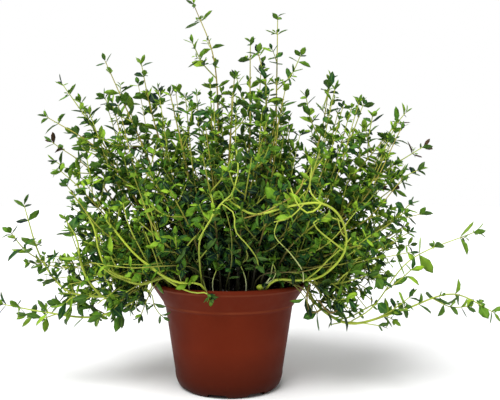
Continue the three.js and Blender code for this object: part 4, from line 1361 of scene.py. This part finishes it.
def young_run(tip, seed):
    """A stem from the soil to a tip, over the rim where the tip is low."""
    outward = Vector((tip.x, tip.y, 0.0)).normalized()
    if tip.z < LOW_TIP:
        outward = Matrix.Rotation(RIM_CROSSING_TURN * (2 * seeded(seed) - 1), 3, "Z") @ outward
        foot = outward * YOUNG_FOOT_REACH
        over = outward * YOUNG_OVER_RIM[0]
    else:
        foot = Vector((tip.x * YOUNG_FOOT_SHARE[0], tip.y * YOUNG_FOOT_SHARE[1], 0.0))
        foot *= min(1.0, YOUNG_FOOT_REACH / foot.length)
        over = foot * OVER_SOIL_SHARE
    foot.z = SOIL_LEVEL - ROOT_DEPTH
    over.z = YOUNG_OVER_RIM[1] + RIM_CROSSING_RISE * seeded(seed + 1)
    middle = over.lerp(tip, YOUNG_MIDDLE[0])
    middle.z = part_way((over.z, tip.z), YOUNG_MIDDLE[1])
    return Run([foot, over, middle, tip])


def tuft_run(i):
    """A short stem inside the rim, at the back of the pot for the first numbers and then at its front."""
    turn = math.pi * (i + 0.5) / BACK_TUFTS
    if i >= BACK_TUFTS:
        turn = math.pi * (1 + (i - BACK_TUFTS + 0.5) / FRONT_TUFTS)
    outward = Vector((math.cos(turn), math.sin(turn), 0.0))
    foot = outward * TUFT_FOOT
    foot.z = SOIL_LEVEL - ROOT_DEPTH
    tip = foot + outward * TUFT_REACH * seeded(TUFT_SEEDS["reach"] + i)
    tip.z = POT_HEIGHT + part_way(TUFT_HEIGHTS, seeded(TUFT_SEEDS["height"] + i))
    return Run([foot, foot.lerp(tip, 0.5) - outward * TUFT_BOW, tip])


young_lines = {"young_left_stems": [], "young_middle_stems": [], "young_right_stems": []}
young_tips = [spread_tip(i) for i in range(YOUNG_STEMS)] + [Vector(tip) / MILLIMETRES for tip in AIMED_TIPS]
young_tips.sort(key=lambda tip: tip.x)
for i, tip in enumerate(young_tips):
    piece_name = list(young_lines)[3 * i // len(young_tips)]
    run = young_run(tip, CROSSING_SEED + 2 * i)
    young_lines[piece_name] += leafy_lines(run, FIRST_YOUNG_INDEX + i, YOUNG_HABIT)
for i in range(BACK_TUFTS + FRONT_TUFTS):
    tuft = stalk_line(tuft_run(i), i, TUFT_SEEDS["pairs"] + 20 * i, TUFT_HABIT)
    young_lines["young_middle_stems"].append(tuft)
for i, (piece_name, lines) in enumerate(young_lines.items()):
    thyme_piece(piece_name, lines, YOUNG_PIECE_SEED + 1000 * i, sprig_collection, sides=SPRIG_SIDES)

# Front shoots: long bare yellow-green shoots that arch, cross and droop in front of the leaves, and one
# that hangs over the rim. Each starts in the soil or at a joint of another stem.
FRONT_HABIT = {"spacing": 0.013, "sprigs": 0.3, "leaf": 0.85, "in_front": True}
FRONT_TURN = 1.3
FRONT_SEED = 9000
FRONT_PIECE_SEED = 31000

lines = []
for i, ((foot, tip, bare, age, pale), *points) in enumerate(FRONT_SHOOTS):
    thickness = (foot / MILLIMETRES, tip / MILLIMETRES)
    habit = {**FRONT_HABIT, "thickness": thickness, "bare": bare, "ages": (age, age), "pale": pale}
    lines.append(stalk_line(Run(metres(points)), FRONT_TURN * i, FRONT_SEED + 100 * i, habit))
thyme_piece("front_shoots", lines, FRONT_PIECE_SEED, sprig_collection)

# Broad-leaved shoots: short and low down, where the oldest leaves are largest and roundest, and one high on
# the right. Each leaves a stem and holds one pair of leaves. Their points are in millimetres.
BROAD_SHOOTS = [
    [(-77.2, -52, 96.1), (-79.3, -56, 100.1), (-80.8, -59, 105.3)],
    [(-82.4, -46, 84.1), (-85.2, -50, 86.1), (-86.7, -53, 91.4)],
    [(-57, -52, 79.5), (-53, -57, 83), (-53.3, -60, 88.3)],
    [(-109.9, -30, 72.2), (-113.6, -33, 72.7), (-117.5, -35, 68.8)],
    [(-90.3, -34, 72.9), (-87.4, -38, 71.5), (-85.6, -40, 68.5)],
    [(-81.5, -26, 63.5), (-85.9, -30, 61), (-91.4, -32, 59.5)],
    [(-77.1, -26, 67.1), (-78.2, -28, 64), (-78.6, -30, 61)],
    [(57.3, -44, 82.4), (55.5, -47, 79.3), (53.3, -48, 74.6)],
    [(66.3, -40, 68.9), (65.3, -42, 66.2), (62.4, -43, 64)],
    [(74.8, -36, 68.2), (77.2, -39, 66.2), (79.9, -40, 64)],
    [(76.8, -46, 85.5), (79.1, -49, 89.5), (83.1, -50, 93.1)],
    [(98.5, -36, 94.1), (101.7, -38, 92.9), (104.8, -40, 87.5)],
    [(82.7, -40, 77.5), (77.1, -44, 81), (71.8, -46, 84.8)],
    [(-22, -58, 101), (-18.4, -62, 105.6), (-14.9, -64, 109.9)],
    [(-22.3, -66, 119.5), (-24.7, -70, 117.2), (-28, -72, 113.3)],
    [(9.7, -56, 100.8), (13, -60, 104), (11.6, -62, 109.7)],
    [(72, -10, 214), (73.8, -12, 220), (75, -14, 226)],
]
BROAD_HABIT = {"thickness": (0.00055, 0.00045), "ages": (0.2, 0.16), "leaf": 1.95, "spacing": 0.009,
               "bare": 0.9, "sprigs": 0.0, "in_front": True}
BROAD_TURNS = (0.35, 0.9)
BROAD_SEED = 9700
BROAD_PIECE_SEED = 32000

lines = []
for i, points in enumerate(BROAD_SHOOTS):
    phase = BROAD_TURNS[0] + BROAD_TURNS[1] * i
    lines.append(stalk_line(Run(metres(points)), phase, BROAD_SEED + 30 * i, BROAD_HABIT))
thyme_piece("broad_shoots", lines, BROAD_PIECE_SEED, no_sprigs)

# Sprouts: whitish new shoots that have just left the soil at the front rim, each with its first leaves,
# beside the round cut stub of an old stem. The sprouts' points are in millimetres.
SPROUTS = [
    [(-32, -42, 70), (-32.8, -47, 83), (-35, -56, 93.5)],
    [(-27.5, -44, 70), (-28, -48, 83), (-28.5, -54, 86.8)],
    [(23, -46, 72), (24.5, -48, 83), (28.5, -50, 88.5), (30, -51, 96), (31.2, -51, 103.5)],
    [(24.5, -46, 72), (26.5, -48.5, 84.5), (31.5, -50, 88.5), (32.5, -50, 94.5), (30, -51, 100)],
    [(-10, -43, 70), (-11.5, -47, 86), (-8.5, -48, 95)],
    [(11, -43, 70), (12, -46, 86), (8, -47, 98)],
]
SPROUT_HABIT = {"thickness": (0.00048, 0.00036), "ages": (0.0, 0.0), "leaf": 1.1, "spacing": 0.009,
                "bare": 0.8, "sprigs": 0.0, "pale": 1.6, "in_front": True}
SPROUT_TURN = 0.6
SPROUT_SEED = 9900
SPROUT_PIECE_SEED = 33000
SPROUT_LEAF_TONE = 1.15
STUB_PLACE = Vector((0.0218, -0.0476, 0.0820))
STUB_SIZE = (0.0026, 0.0020, 0.0021)
STUB_LUMPS = 0.10
STUB_LUMP_SCALE = 1.7
STUB_AGE = 0.04

lines = [stalk_line(Run(metres(points)), SPROUT_TURN * i, SPROUT_SEED + 40 * i, SPROUT_HABIT)
         for i, points in enumerate(SPROUTS)]
sprouts = thyme_piece("pale_sprouts", lines, SPROUT_PIECE_SEED, no_sprigs)
sprout_tones = sprouts.data.attributes["leaf_tone"].data
sprout_tones.foreach_set("value", [SPROUT_LEAF_TONE] * len(sprout_tones))

stub_shape = bmesh.new()
bmesh.ops.create_icosphere(stub_shape, subdivisions=3, radius=1.0)
for vertex in stub_shape.verts:
    vertex.co *= 1 + STUB_LUMPS * noise.noise(vertex.co * STUB_LUMP_SCALE)
    vertex.co = STUB_PLACE + Vector(part * size for part, size in zip(vertex.co, STUB_SIZE))
for face in stub_shape.faces:
    face.smooth = True
stub_mesh = mesh_of(stub_shape, "cut_stub")
stub_ages = stub_mesh.attributes.new("age", "FLOAT", "POINT").data
stub_ages.foreach_set("value", [STUB_AGE] * len(stub_ages))
finished(new_object("cut_stub", stub_mesh), stalk_finish.material, "thyme")

# The helper shapes are removed.
for collection in (leaf_collection, sprig_collection, grain_collection, no_sprigs):
    for shape in list(collection.objects):
        bpy.data.objects.remove(shape)
    bpy.data.collections.remove(collection)
